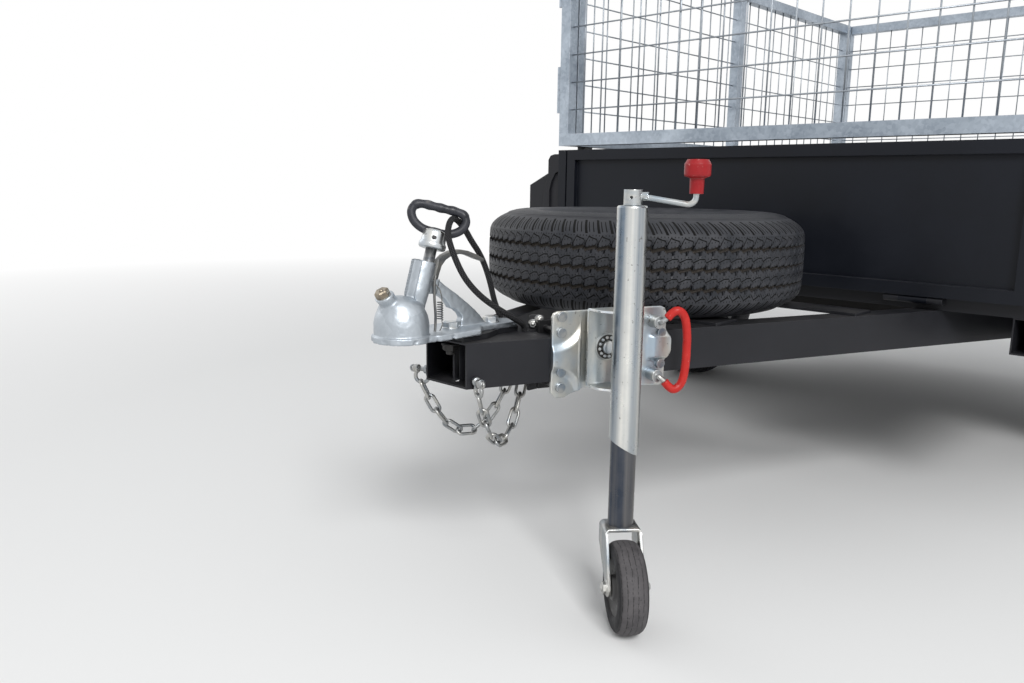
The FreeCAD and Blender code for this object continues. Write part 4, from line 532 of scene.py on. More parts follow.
rubber = (in_groove * 0.9).blend(rubber, (0.070, 0.060, 0.051))
# Painted shade: the cuts, pin marks and bitten notches are coloured near-black, as if in shadow.
rubber = (either(cuts, bitten) * 0.98).blend(rubber, (0.0008, 0.0008, 0.0008))
feed(skin, Base_Color=rubber, Roughness=dirt.spread(0.3, 0.7, 0.42, 0.60) + either(in_groove, cuts) * 0.3,
     Normal=bump(cloud(tree, 700.0), 0.25, 0.0003, Normal=bump(rings * 0.25 - cuts, 1.0, 0.0030)))


def middle_of(node):
    low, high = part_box(node)
    return (Vector(low) + Vector(high)) / 2


def tread_section():
    """Points across the tread: place, 1 on a groove's floor, and the step where a bite is cut."""
    points = [(-TREAD_EDGE, 0, None)]
    foot, lip, bite = GROOVE_HALF - 0.0006, GROOVE_HALF + 0.0004, GROOVE_HALF + BITE_REACH
    clear = bite + 0.0016
    for place in GROOVE_PLACES:
        points += [(place - clear, 0, None), (place - bite, 0, BITTEN_LEFT), (place - lip, 0, BITTEN_LEFT),
                   (place - foot, 1, None), (place + foot, 1, None),
                   (place + lip, 0, BITTEN_RIGHT), (place + bite, 0, BITTEN_RIGHT), (place + clear, 0, None)]
    return points + [(TREAD_EDGE, 0, None)]


def tyre(name, node, body, level):
    """A tyre round the middle of its CAD node; its axle is upright where level is true, or lies along X."""
    middle = middle_of(node)
    section = [(-half, up, 0, None, False) for half, up in reversed(SIDEWALL)]
    for place, sunk, bite in tread_section():
        crown = TYRE_RADIUS - CROWN * (place / TREAD_EDGE) ** 2
        section.append((place, crown - sunk * GROOVE_DEPTH, sunk, bite, True))
    section += [(half, up, 0, None, False) for half, up in SIDEWALL]
    running = [place for place, *_ in section]
    for side, order in ((1, range(len(section))), (-1, range(len(section) - 1, -1, -1))):
        reach, last = TREAD_EDGE, None
        for index in order:
            place, up = section[index][:2]
            if place * side > TREAD_EDGE - 1e-6:
                reach += math.hypot(place - last[0], up - last[1]) if last else 0
                running[index] = side * reach
                last = (place, up)
    sharp = [one[4] and two[4] and (one[2] != two[2] or one[3] is not None or two[3] is not None)
             for one, two in zip(section, section[1:])]
    form = bmesh.new()
    groove_mark = form.verts.layers.float.new("groove")
    bite_mark = form.verts.layers.float.new("bite")
    mapped = form.loops.layers.uv.new("skin")
    total = BLOCKS_ROUND * STEPS
    rows = []
    for number, turn in enumerate(turns(total)):
        tooth = SAWTOOTH * ((number % STEPS) / (STEPS - 1) - 0.5)
        row = []
        for place, up, sunk, bite, tread in section:
            toothed = tread and min(abs(place - groove) for groove in GROOVE_PLACES) < TOOTH_REACH
            bitten_here = bite is not None and number % STEPS == bite
            along = place + (tooth if toothed else 0)
            radius = up - (BITE_DEPTH if bitten_here else 0)
            one, two = radius * math.cos(turn), radius * math.sin(turn)
            vertex = form.verts.new(middle + Vector((one, two, along) if level else (along, one, two)))
            vertex[groove_mark], vertex[bite_mark] = sunk, float(bitten_here)
            row.append(vertex)
        rows.append(row)
    for number in range(total):
        near, far = rows[number], rows[(number + 1) % total]
        for index in range(len(section) - 1):
            face = form.faces.new((near[index], far[index], far[index + 1], near[index + 1]))
            face.smooth = not sharp[index]
            for loop, (on, over) in zip(face.loops, ((0, 0), (1, 0), (1, 1), (0, 1))):
                loop[mapped].uv = ((number + on) * BLOCK_PITCH / STEPS, running[index + over])
    finished(form, name, body, "tyre_rubber", [tyre_rubber], node)


tyre("road_tyre_left", "tyre_left", "wheel_left", False)
tyre("road_tyre_right", "tyre_right", "wheel_right", False)
tyre("spare_tread", "spare_tyre", "chassis", True)

# Rims and hubs: pressed steel rims in silver lacquer, dusty in the well, on black hubs with five wheel nuts.
# The spare has the same rim.
rim_lacquer = painted("silver_rim_lacquer", (0.46, 0.47, 0.48), (0.66, 0.67, 0.68), 0.34, 1.0, 0.002, 0.35)
dress(rim_lacquer, "rim_left", "rim_right", "spare_rim")
hub_paint = painted("hub_paint", (0.045, 0.045, 0.047), (0.22, 0.20, 0.18), 0.5, 0.8)
dress(hub_paint, "hub_left", "hub_right")

# Coupling body: a galvanised grey-iron casting bolted to the nose, with a domed ball housing, a leaning
# barrel and an upright web. Sand texture, soft corners, small knocks and a chipped flange show on it.
NOSE_Y, DRAWBAR_TOP = -1.373, 0.465
DOME_BACK, DOME_SLIMMER, DOME_FORWARD, PACKER_THICK = -0.097, 0.085, 0.006, 0.009
BARREL_FOOT, BARREL_LEAN, BARREL_FATTER, BARREL_REACH = (-0.0584, 0.057), 0.306, 0.16, 0.024


def from_nose(x, back, up):
    return Vector((x, NOSE_Y + back, DRAWBAR_TOP + up))


def worked_over(name, node, body, finish, voxel, rounds, shape):
    """A piece that starts as its CAD node, gets one skin with eased corners and is moved as shape says."""
    form = bmesh.new()
    form.from_mesh(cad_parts[node].data)
    bmesh.ops.remove_doubles(form, verts=form.verts[:], dist=1e-6)
    mesh = bpy.data.meshes.new(name)
    form.to_mesh(mesh)
    form.free()
    piece = piece_of(name, mesh, body, node)
    skin = piece.modifiers.new("skin", "REMESH")
    skin.mode = "VOXEL"
    skin.voxel_size = voxel
    piece.modifiers.new("ease", "SMOOTH").iterations = rounds
    made = bpy.data.meshes.new_from_object(piece.evaluated_get(bpy.context.evaluated_depsgraph_get()))
    piece.modifiers.clear()
    piece.data = made
    moves = [shape(vertex.co, vertex.normal) for vertex in made.vertices]
    for vertex, move in zip(made.vertices, moves):
        vertex.co += move
    for face in made.polygons:
        face.use_smooth = True
    made.materials.clear()
    made.materials.append(finish)


def eased(low, high, value):
    share = min(1.0, max(0.0, (value - low) / (high - low)))
    return share * share * (3 - 2 * share)


def sand_skin(place, normal):
    """Moves for the casting: a slimmer dome, a lifted flange, a fuller barrel, sand, knocks and chips."""
    back, up = place.y - NOSE_Y, place.z - DRAWBAR_TOP
    dome = eased(-0.046, -0.062, back) * eased(0.085, 0.055, up)
    slim = Vector((-place.x, DOME_BACK - back, 0)) * (DOME_SLIMMER * dome)
    slim += Vector((0, DOME_FORWARD * dome, 0))
    lift = Vector((0, 0, PACKER_THICK * eased(0.045, 0.0, up)))
    off_barrel = Vector((place.x, back - BARREL_FOOT[0] - (up - BARREL_FOOT[1]) * BARREL_LEAN, 0))
    if up > 0.055 and off_barrel.length < BARREL_REACH:
        slim += off_barrel * (BARREL_FATTER * eased(0.056, 0.090, up))
    rough = noise.noise(place * 120) * 0.00035 + noise.noise(place * 420) * 0.00012
    knock = noise.noise(place * 45 + Vector((3, 7, 1)))
    chip = eased(0.013, 0.004, up) * max(0.0, noise.noise(place * 90) - 0.18) * 0.006
    return slim + lift + normal * (rough - max(0.0, knock - 0.52) * 0.004 - chip)


def reopened(finish):
    """The tree and the shader's inputs of a finish, and the colour that it has so far."""
    inputs = finish.node_tree.nodes["Principled BSDF"].inputs
    return finish.node_tree, inputs, Wire(inputs["Base Color"].links[0].from_socket)


cast_zinc = galvanised("cast_zinc", (0.60, 0.645, 0.69), (0.33, 0.365, 0.40), 0.38, 38.0, 0.92, 0.30)
tree, skin, under = reopened(cast_zinc)
pits = cloud(tree, 300.0, 4.0).spread(0.68, 0.78, 0.0, 0.6)
feed(skin, Base_Color=pits.blend(under, (0.20, 0.19, 0.18)))
worked_over("coupling_casting", "coupling_body", "chassis", cast_zinc, 0.0014, 5,
            sand_skin)

# Nose bolts: plated heads and washers over oiled nuts, and a straw-coloured screw in the dome. The thin
# plating runs from blue to straw in streaks, with cloudy patches and dull specks, as on later plated pieces.
zinc_film, given, result = new_effect("zinc_film", {"Stretch": (30.0, 30.0, 30.0), "Specks": 160.0},
                                      Band="Float", Cloud="Float", Speck="Float")
drawn = vector_calc("MULTIPLY", where(zinc_film), given["Stretch"])
feed(result, Band=cloud(zinc_film, 1.0, 3.0, drawn).spread(0.34, 0.66),
     Cloud=cloud(zinc_film, 26.0, 7.0, Roughness=0.6).spread(0.34, 0.66),
     Speck=cloud(zinc_film, given["Specks"], 3.0).spread(0.66, 0.72))
SPECK_TONE = (0.16, 0.15, 0.14)


def zinc_plated(name, stretch, blue, straw, gloss=0.30, specks=160.0, metal=1.0, radius=0.0012,
                cloudy=(0.42, 0.43, 0.43), worn=(0.92, 0.93, 0.93)):
    made, tree, skin = new_finish(name, Metallic=metal)
    if isinstance(stretch, float):
        stretch = (stretch, stretch, stretch)
    film = effect(tree, zinc_film, Stretch=stretch, Specks=specks)
    wear_and_highlight = effect(tree, edge_wear_and_highlight, Radius=radius, Grain=60.0)
    plate = (film["Cloud"] * 0.38).blend(film["Band"].blend(blue, straw), cloudy)
    plate = (film["Speck"] * 0.7).blend(plate, SPECK_TONE)
    # Painted highlight and rubbed plating: the edges blend towards the worn tone.
    feed(skin, Base_Color=(wear_and_highlight["Edge"] * 0.6).blend(plate, worn),
         Roughness=film["Cloud"].spread(0.0, 1.0, gloss - 0.04, gloss + 0.14) + film["Speck"] * 0.25,
         Normal=bump(film["Cloud"], 0.12, 0.0005, Normal=wear_and_highlight["Normal"]))
    return made


def smoothed(points, closed=False, parts=6):
    """Points along a smooth curve through the given ones."""
    count, path = len(points), []
    for index in range(count if closed else count - 1):
        p0 = points[index - 1] if closed or index else points[0]
        p1, p2 = points[index], points[(index + 1) % count]
        p3 = points[(index + 2) % count] if closed or index + 2 < count else points[-1]
        for part in range(parts):
            t = part / parts
            path.append(0.5 * ((2 * p1) + (p2 - p0) * t + (2 * p0 - 5 * p1 + 4 * p2 - p3) * t * t
                               + (3 * p1 - p0 - 3 * p2 + p3) * t ** 3))
    if not closed:
        path.append(points[-1])
    return path


def ring_round(form, middle, across, over, radius, sides, start=0.0):
    angles = [start + turn for turn in turns(sides)]
    return [form.verts.new(middle + (across * math.cos(angle) + over * math.sin(angle)) * radius)
            for angle in angles]


def turned(form, foot, axis, outline, sides=40, paint=0):
    """A turned form round an axis: outline is its radius and height, from the foot upwards."""
    axis = axis.normalized()
    across = axis.orthogonal().normalized()
    over = axis.cross(across)
    rings = [ring_round(form, foot + axis * height, across, over, radius, sides if radius else 1)
             for radius, height in outline]
    for near, far in zip(rings, rings[1:]):
        skin_between(form, near, far, paint)


def closed_turned(form, foot, axis, outline, sides=40, paint=0):
    """A turned form whose two ends are flat and closed."""
    turned(form, foot, axis, [(0, outline[0][1]), *outline, (0, outline[-1][1])], sides, paint)


def rod(form, foot, axis, radius, height, sides=24, paint=0):
    closed_turned(form, foot, axis, [(radius, 0), (radius, height)], sides, paint)


def hexagon(form, foot, axis, across, height, paint=0, turn=0.0):
    """A hexagonal head or nut with its chamfered end upwards."""
    axis = axis.normalized()
    side = axis.orthogonal().normalized()
    rings = [ring_round(form, foot + axis * level, side, axis.cross(side), reach, 6, turn)
             for reach, level in ((across, 0), (across, height * 0.84), (across * 0.84, height))]
    for near, far in zip(rings, rings[1:]):
        skin_between(form, near, far, paint, False)
    cap_ends(form, rings, paint)


UP = Vector((0, 0, 1))
OILED = {"cloudy": (0.020, 0.020, 0.021), "worn": (0.10, 0.10, 0.10)}
bolt_zinc = zinc_plated("bolt_zinc", 70.0, (0.36, 0.41, 0.46), (0.58, 0.58, 0.56), 0.30, 300.0)
nut_dark = zinc_plated("oiled_nut", 70.0, (0.016, 0.017, 0.019), (0.045, 0.043, 0.041), 0.5, 300.0, 0.6,
                       **OILED)
screw_straw = zinc_plated("straw_passivated_screw", 90.0, (0.21, 0.175, 0.135), (0.36, 0.31, 0.235), 0.34,
                          300.0, cloudy=(0.20, 0.19, 0.17), worn=(0.60, 0.58, 0.54))
BOLT_HEX, WASHER, WASHER_THICK, FLANGE_TOP = 0.0139, 0.0150, 0.0018, PACKER_THICK + 0.0098
form = bmesh.new()
for back, nut_top in ((0.010, -0.0072), (0.101, -0.0085)):
    closed_turned(form, from_nose(0, back, FLANGE_TOP), UP,
                  [(WASHER, 0), (WASHER + 0.0005, 0.0008), (WASHER, WASHER_THICK)], 32)
    hexagon(form, from_nose(0, back, FLANGE_TOP + WASHER_THICK), UP, BOLT_HEX, 0.0092, 0, 0.35 + back * 9)
    rod(form, from_nose(0, back, nut_top), -UP, WASHER, 0.0022, 32, 1)
    hexagon(form, from_nose(0, back, nut_top - 0.0022), -UP, BOLT_HEX, 0.0095, 1, 0.2)
    turned(form, from_nose(0, back, nut_top - 0.011), -UP,
           [(0.0076, 0), (0.0076, 0.006), (0.0062, 0.0075), (0, 0.0075)], 24, 1)
SCREW_LEAN = math.radians(30)
SCREW_AXIS = Vector((0, -math.sin(SCREW_LEAN), math.cos(SCREW_LEAN)))
screw_foot = from_nose(0, -0.125, 0.0825)
hexagon(form, screw_foot - SCREW_AXIS * 0.001, SCREW_AXIS, 0.0116, 0.011, 2, 0.26)
turned(form, screw_foot + SCREW_AXIS * 0.01, SCREW_AXIS,
       [(0.0038, 0), (0.0036, 0.0014), (0.0016, 0.0018), (0, 0.0012)], 20, 2)
finished(form, "nose_bolts", "chassis", "zinc_plate", [bolt_zinc, nut_dark, screw_straw], "coupling_bolts")


# Packer: a black plate between the casting's flange and the nose, a little narrower than the flange.
# The flange's bolts hold it.
def plate(form, outline, shift):
    """A flat plate from the corners of one face and the way to the other."""
    face = form.faces.new([form.verts.new(corner) for corner in outline])
    grown = bmesh.ops.extrude_face_region(form, geom=[face])["geom"]
    corners = [part for part in grown if isinstance(part, bmesh.types.BMVert)]
    bmesh.ops.translate(form, vec=shift, verts=corners)


packer_paint = painted("packer_paint", (0.014, 0.0145, 0.017), (0.06, 0.061, 0.066), 0.45)
half_packer = [(0.038, 0.003), (0.038, 0.060), (0.020, 0.100), (0.020, 0.148)]
packer_line = half_packer + [(-x, back) for x, back in reversed(half_packer)]
form = bmesh.new()
plate(form, [from_nose(x, back, 0.0002) for x, back in packer_line], UP * (PACKER_THICK + 0.0005))
finished(form, "nose_packer", "chassis", "body_paint", [packer_paint])

# Coupling spindle: a turned steel bar that comes up out of the barrel, oiled and darker than the plating.
# The handle is pinned on its top.
spindle_steel = zinc_plated("spindle_steel", (20.0, 20.0, 160.0), (0.13, 0.14, 0.155), (0.27, 0.265, 0.26),
                            0.36, cloudy=(0.16, 0.16, 0.16), worn=(0.42, 0.42, 0.42))
SPINDLE_LEAN = math.radians(17)
SPINDLE_AXIS = Vector((0, math.sin(SPINDLE_LEAN), math.cos(SPINDLE_LEAN)))
SPINDLE_RADIUS, SPINDLE_LONG = 0.009, 0.112
form = bmesh.new()
rod(form, from_nose(0, *BARREL_FOOT), SPINDLE_AXIS, SPINDLE_RADIUS, SPINDLE_LONG, 32)
finished(form, "turned_spindle", "chassis", "dark_steel", [spindle_steel], "coupling_spindle")

# Latch lever: a forged and plated hook over the web's top, worked by a thin rod and held by a return spring
# that is wound from wire.
latch_zinc = zinc_plated("latch_zinc", (40.0, 15.0, 60.0), (0.12, 0.13, 0.14), (0.27, 0.26, 0.24), 0.36,
                         cloudy=(0.14, 0.14, 0.14), worn=(0.50, 0.51, 0.51))
dress(latch_zinc, "coupling_latch")
LATCH_X, ROD_RADIUS, COIL_WIRE, COIL_RADIUS, COIL_TALL = 0.0105, 0.0021, 0.001, 0.0044, 0.030
COIL_TURNS, COIL_STEPS, COIL_BACK, COIL_FOOT = 8, 96, -0.0215, 0.036
rod_line = [(-0.030, 0.108), (-0.033, 0.096), (-0.033, 0.070), (-0.031, 0.045), (-0.032, 0.022),
            (-0.036, 0.0135)]
form = bmesh.new()
sweep(form, smoothed([from_nose(LATCH_X, back, up) for back, up in rod_line]), ROD_RADIUS, 10)
coil = []
for step in range(COIL_STEPS + 1):
    turn = step / COIL_STEPS * 2 * math.pi * COIL_TURNS
    coil.append(from_nose(LATCH_X + COIL_RADIUS * math.cos(turn), COIL_BACK + COIL_RADIUS * math.sin(turn),
                          COIL_FOOT + COIL_TALL * step / COIL_STEPS))
hook = [from_nose(LATCH_X, -0.030, 0.094), from_nose(0.0135, -0.024, 0.084), from_nose(0.015, -0.0215, 0.072)]
tail = [from_nose(0.015, -0.020, 0.030), from_nose(0.013, -0.023, 0.021), from_nose(0.012, -0.028, 0.0145)]
sweep(form, smoothed(hook) + coil[::-1] + smoothed(tail), COIL_WIRE, 8)
finished(form, "latch_rod_and_spring", "chassis", "zinc_plate", [latch_zinc])

# Coupling handle: a forged D ring dipped in black plastic, with finger waves along its top bar, on a plated
# hub that is pinned to the spindle.
grip_black, tree, skin = new_finish("dipped_black_grip", Specular_IOR_Level=0.3)
wear_and_highlight = effect(tree, edge_wear_and_highlight, Radius=0.002, Grain=140.0)
smear = cloud(tree, 55.0, 6.0)
coat = smear.spread(0.3, 0.7).blend((0.010, 0.011, 0.015), (0.036, 0.037, 0.046))
feed(skin, Base_Color=smear.spread(0.62, 0.72, 0.0, 0.55).blend(coat, (0.16, 0.15, 0.14)),
     Roughness=smear.spread(0.3, 0.7, 0.30, 0.55), Normal=bump(smear, 0.25, 0.0006, Normal=wear_and_highlight["Normal"]))
hub_zinc = zinc_plated("handle_hub_zinc", (60.0, 60.0, 25.0), (0.52, 0.57, 0.62), (0.72, 0.71, 0.67), 0.28)
pin_dark = zinc_plated("handle_pin_dark", 60.0, (0.04, 0.04, 0.045), (0.09, 0.085, 0.08), 0.45, **OILED)

GRIP_FOOT = from_nose(0.0, -0.022, 0.175)
GRIP_ALONG = Vector((0.633, 0.741, -0.226)).normalized()
GRIP_UP = Vector((0, 0.292, 0.956)).normalized()
GRIP_FACE = GRIP_ALONG.cross(GRIP_UP)
GRIP_WIDE, GRIP_TALL, GRIP_THICK = 0.0437, 0.0392, 0.0072
WAVE_LONG, WAVE_DEEP, WAVES_FROM, THINNER_BELOW = 0.019, 0.0005, 0.033, 0.0003
HALF_RING = [(0.46, 0.03), (0.80, 0.22), (0.97, 0.48), (0.99, 0.72), (0.86, 0.93), (0.60, 1.0), (0.30, 1.0)]
ring_line = [(0.0, -0.004), *HALF_RING, (0.0, 1.0), *[(-along, up) for along, up in reversed(HALF_RING)]]
ring = smoothed([GRIP_FOOT + GRIP_ALONG * (GRIP_WIDE * along) + GRIP_UP * (GRIP_TALL * up)
                 for along, up in ring_line], True, 8)
sizes = []
for place in ring:
    along, up = (place - GRIP_FOOT).dot(GRIP_ALONG), (place - GRIP_FOOT).dot(GRIP_UP)
    wave = WAVE_DEEP * math.cos(along * 2 * math.pi / WAVE_LONG)
    sizes.append(GRIP_THICK + (wave if up > WAVES_FROM else -THINNER_BELOW))
form = bmesh.new()
sweep(form, ring, sizes, 18, True, 0.82, GRIP_FACE)
turned(form, GRIP_FOOT - GRIP_UP * 0.002, GRIP_UP,
       [(0, -0.004), (0.0125, -0.004), (0.0138, -0.001), (0.0128, 0.004), (0.009, 0.008), (0, 0.009)], 32)
turned(form, GRIP_FOOT - GRIP_UP * 0.027, GRIP_UP,
       [(0.0085, 0), (0.0198, 0), (0.0216, 0.002), (0.022, 0.0068), (0.0212, 0.009), (0.0196, 0.0112),
        (0.019, 0.0255), (0.0176, 0.0285), (0.013, 0.030), (0, 0.030)], 40, 1)
PIN_HEAD = [(0.0026, 0.0015), (0.0034, 0.001), (0.0036, 0)]
pin_middle = GRIP_FOOT - GRIP_UP * 0.011
turned(form, pin_middle + GRIP_FACE * 0.0184, GRIP_FACE, [(0, 0.0012), (0.0014, 0.0014), *PIN_HEAD], 20, 2)
turned(form, pin_middle - GRIP_FACE * 0.0184, -GRIP_FACE, [(0, 0.0012), *PIN_HEAD], 20, 2)
finished(form, "coupling_grip", "chassis", "black_plastic", [grip_black, hub_zinc, pin_dark],
         "coupling_handle")

# Jockey clamp: 6 mm plate pressed with a raised shoulder between its bolt pads, plated after pressing.
# It lies on the outer face of the left drawbar member.
MEMBER_TURN = math.radians(20.7)
MEMBER_ALONG = Vector((math.sin(MEMBER_TURN), math.cos(MEMBER_TURN), 0))
MEMBER_OUT = Vector((MEMBER_ALONG.y, -MEMBER_ALONG.x, 0))
NOSE_CORNER = Vector((0.050, NOSE_Y, DRAWBAR_TOP))
PRESS_HEIGHT, FIELD_END, CORNER_FROM, TONGUE_FROM, TONGUE_UP = 0.0062, 0.205, 0.150, 0.335, -0.027


def beside(along, out, up):
    return NOSE_CORNER + MEMBER_ALONG * along + MEMBER_OUT * out + Vector((0, 0, up))


def pressed(place, normal):
    """Moves for the clamp: the raised field between the bolt pads, and the tongue at the far end."""
    local = place - NOSE_CORNER
    along, out, up = local.dot(MEMBER_ALONG), local.dot(MEMBER_OUT), local.z
    if out < 0.0035 or normal.dot(MEMBER_OUT) < 0.3:
        return normal * 0.0
    rise = 0.0
    if along < FIELD_END:
        upper = math.hypot(max(0.0, along - CORNER_FROM), max(0.0, 0.047 - up)) - 0.062
        lower = math.hypot(max(0.0, along - CORNER_FROM), max(0.0, up + 0.105)) - 0.050
        rise = eased(-0.006, 0.010, min(upper, lower)) * eased(0.216, 0.196, along)
    elif along > TONGUE_FROM:
        rise = eased(0.017, 0.006, abs(up - TONGUE_UP) - 0.010) * eased(TONGUE_FROM, 0.352, along)
    return MEMBER_OUT * (rise * PRESS_HEIGHT)


clamp_zinc = zinc_plated("clamp_zinc", (26.0, 26.0, 12.0), (0.36, 0.44, 0.52), (0.66, 0.64, 0.58), 0.33, 90.0,
                         cloudy=(0.34, 0.345, 0.34))
worked_over("clamp_plate", "jockey_clamp", "chassis", clamp_zinc, 0.0012, 2, pressed)

# Clamp bolts: six plated heads on the plate. Two long shanks pass above and below the drawbar member to a
# strap on its inner side, and from the plate's face inwards they and the strap are coloured near-black.
held_zinc = zinc_plated("clamp_bolt_zinc", 70.0, (0.20, 0.26, 0.33), (0.46, 0.46, 0.45), 0.30, 300.0,
                        radius=0.0016, cloudy=(0.24, 0.25, 0.26))
tree, skin, under = reopened(held_zinc)
from_corner = vector_calc("SUBTRACT", where(tree), NOSE_CORNER)
hidden = vector_calc("DOT_PRODUCT", from_corner, MEMBER_OUT, "Value") < 0.0005
feed(skin, Base_Color=hidden.blend(under, (0.012, 0.012, 0.013)), Metallic=hidden * -0.8 + 1.0)
dress(held_zinc, "clamp_bolts")

# Jockey channel: folded plate welded to the outer tube. Its bright sheared edges, the welds and the detent
# balls round the pivot show from the front.
channel_zinc = zinc_plated("channel_zinc", (30.0, 30.0, 14.0), (0.32, 0.36, 0.38), (0.52, 0.51, 0.47), 0.50,
                           120.0, cloudy=(0.34, 0.35, 0.35))
sheared_zinc = zinc_plated("sheared_edge_zinc", 90.0, (0.72, 0.78, 0.84), (0.92, 0.92, 0.90), 0.24, 220.0)
FOLD_OUTER = [(0.084, 0.050), (0.050, 0.050), (0.021, 0.050), (0.0175, 0.0488), (0.016, 0.045),
              (0.016, -0.079), (0.0175, -0.0828), (0.021, -0.084), (0.050, -0.084), (0.084, -0.084)]
FOLD_INNER = [(0.084, 0.0462), (0.050, 0.0462), (0.0238, 0.0462), (0.0217, 0.0452), (0.0208, 0.043),
              (0.0208, -0.077), (0.0217, -0.0792), (0.0238, -0.0802), (0.050, -0.0802), (0.084, -0.0802)]
CHANNEL_LEFT, CHANNEL_RIGHT, CUT_FROM, CORNER_CUT, BEADS = 0.2105, 0.262, 0.044, 0.85, 18
PIVOT_ALONG, PIVOT_UP, BALLS, BALL_RING = 0.247, -0.017, 12, 0.0162
form = bmesh.new()
outer_left, inner_left, outer_right, inner_right = (
    [form.verts.new(beside(end + max(0.0, out - CUT_FROM) * cut, out, up)) for out, up in points]
    for end, cut in ((CHANNEL_LEFT, CORNER_CUT), (CHANNEL_RIGHT, 0)) for points in (FOLD_OUTER, FOLD_INNER))
last = len(FOLD_OUTER) - 1
for index in range(last):
    for near, far, paint in ((outer_left, outer_right, 0), (inner_right, inner_left, 0),
                             (inner_left, outer_left, 1), (outer_right, inner_right, 1)):
        face = form.faces.new((near[index], near[index + 1], far[index + 1], far[index]))
        face.material_index, face.smooth = paint, paint == 0 and 1 < index < last - 2
for index in (0, last):
    form.faces.new((outer_left[index], outer_right[index], inner_right[index], inner_left[index]))
rod(form, beside(PIVOT_ALONG, 0.0064, PIVOT_UP), MEMBER_OUT, 0.022, 0.010, 48)
turned(form, beside(PIVOT_ALONG, 0.0205, PIVOT_UP), MEMBER_OUT,
       [(0.0235, 0), (0.0232, 0.0022), (0.0222, 0.003), (0, 0.003)], 48)
for up in (0.0508, -0.0848):
    weld = [beside(0.240 + 0.0011 * bead, 0.081 - 0.00035 * bead + 0.0000026 * bead ** 3,
                   up + 0.0006 * math.sin(bead * 2.1)) for bead in range(BEADS)]
    sizes = [0.0021 + 0.0006 * math.sin(bead * 1.9) for bead in range(BEADS)]
    sweep(form, weld, sizes, 10, flatten=0.7, paint=1)
finished(form, "folded_channel", "jockey_arm", "zinc_plate", [channel_zinc, sheared_zinc], "jockey_channel")
ball_black, tree, skin, soil = mottled("detent_grease", 200.0, (0.004, 0.004, 0.004), (0.035, 0.032, 0.028),
                                       0.3, 0.65)
feed(skin, Normal=bump(soil, 0.4, 0.0006))
pivot = beside(PIVOT_ALONG, 0.0236, PIVOT_UP)
form = bmesh.new()
turned(form, pivot, MEMBER_OUT,
       [(0.0112, 0.0008), (0.0125, 0.0017), (0.0195, 0.0017), (0.021, 0.0006)], 48, 1)
turned(form, pivot, MEMBER_OUT,
       [(0.0104, 0.0003), (0.0112, 0.0048), (0.0098, 0.0066), (0.0052, 0.0074), (0, 0.0076)])
for ball in range(BALLS):
    turn = 2 * math.pi * (ball + 0.3) / BALLS
    place = pivot + (MEMBER_ALONG * math.cos(turn) + UP * math.sin(turn)) * BALL_RING + MEMBER_OUT * 0.0012
    turned(form, place, MEMBER_OUT,
           [(0.0029, 0), (0.0029, 0.001), (0.0024, 0.0023), (0.0013, 0.0031), (0, 0.0033)], 14)
finished(form, "detent_ring", "jockey_arm", "zinc_plate", [bolt_zinc, ball_black])

# Jockey stand: a drawn outer tube with streaky plating and a little red overspray, a plated inner tube that
# winds down to the fork, and a bent crank with a red moulded knob. The outer tube's streaks run from dark
# blue to near white and are partly painted reflection bands.
# Painted reflection: the wide blue-to-straw streak range stands in for bands of reflected surroundings.
tube_zinc = zinc_plated("streaked_zinc_with_painted_reflections", (44.0, 44.0, 0.9), (0.15, 0.20, 0.26), (0.94, 0.92, 0.85),
                        0.27, 150.0)
tree, skin, under = reopened(tube_zinc)
smear = cloud(tree, 1.0, 5.0, vector_calc("MULTIPLY", where(tree), (90.0, 90.0, 14.0)), Roughness=0.7)
feed(skin, Base_Color=smear.spread(0.68, 0.76, 0.0, 0.28).blend(under, (0.60, 0.16, 0.13)))
dress(tube_zinc, "jockey_tube")
inner_zinc = zinc_plated("greased_inner_zinc", (70.0, 70.0, 1.2), (0.045, 0.056, 0.078), (0.21, 0.20, 0.19),
                         0.28, 120.0, cloudy=(0.14, 0.14, 0.15), worn=(0.45, 0.45, 0.45))
dress(inner_zinc, "jockey_leg")
crank_zinc = zinc_plated("crank_zinc", (24.0, 24.0, 90.0), (0.34, 0.40, 0.45), (0.58, 0.575, 0.545), 0.30,
                         180.0, cloudy=(0.32, 0.33, 0.34))
dress(crank_zinc, "jockey_crank")


def red_moulding(name, tone, faded):
    made, tree, skin = new_finish(name, Specular_IOR_Level=0.28)
    wear_and_highlight = effect(tree, edge_wear_and_highlight, Radius=0.0018, Grain=150.0)
    bloom, scuff = cloud(tree, 34.0, 6.0), cloud(tree, 190.0, 4.0)
    coat = bloom.spread(0.3, 0.7).blend(tone, faded)
    coat = scuff.spread(0.66, 0.74, 0.0, 0.35).blend(coat, (0.75, 0.42, 0.38))
    # Painted highlight and scuffed plastic: the edges blend towards a pale pink.
    feed(skin, Base_Color=(wear_and_highlight["Edge"] * 0.3).blend(coat, (0.85, 0.40, 0.36)),
         Roughness=bloom.spread(0.3, 0.7, 0.30, 0.48),
         Normal=bump(scuff, 0.12, 0.0006, Normal=wear_and_highlight["Normal"]))
    return made


knob_red = red_moulding("knob_red", (0.22, 0.005, 0.008), (0.31, 0.013, 0.016))
dress(knob_red, "jockey_knob")

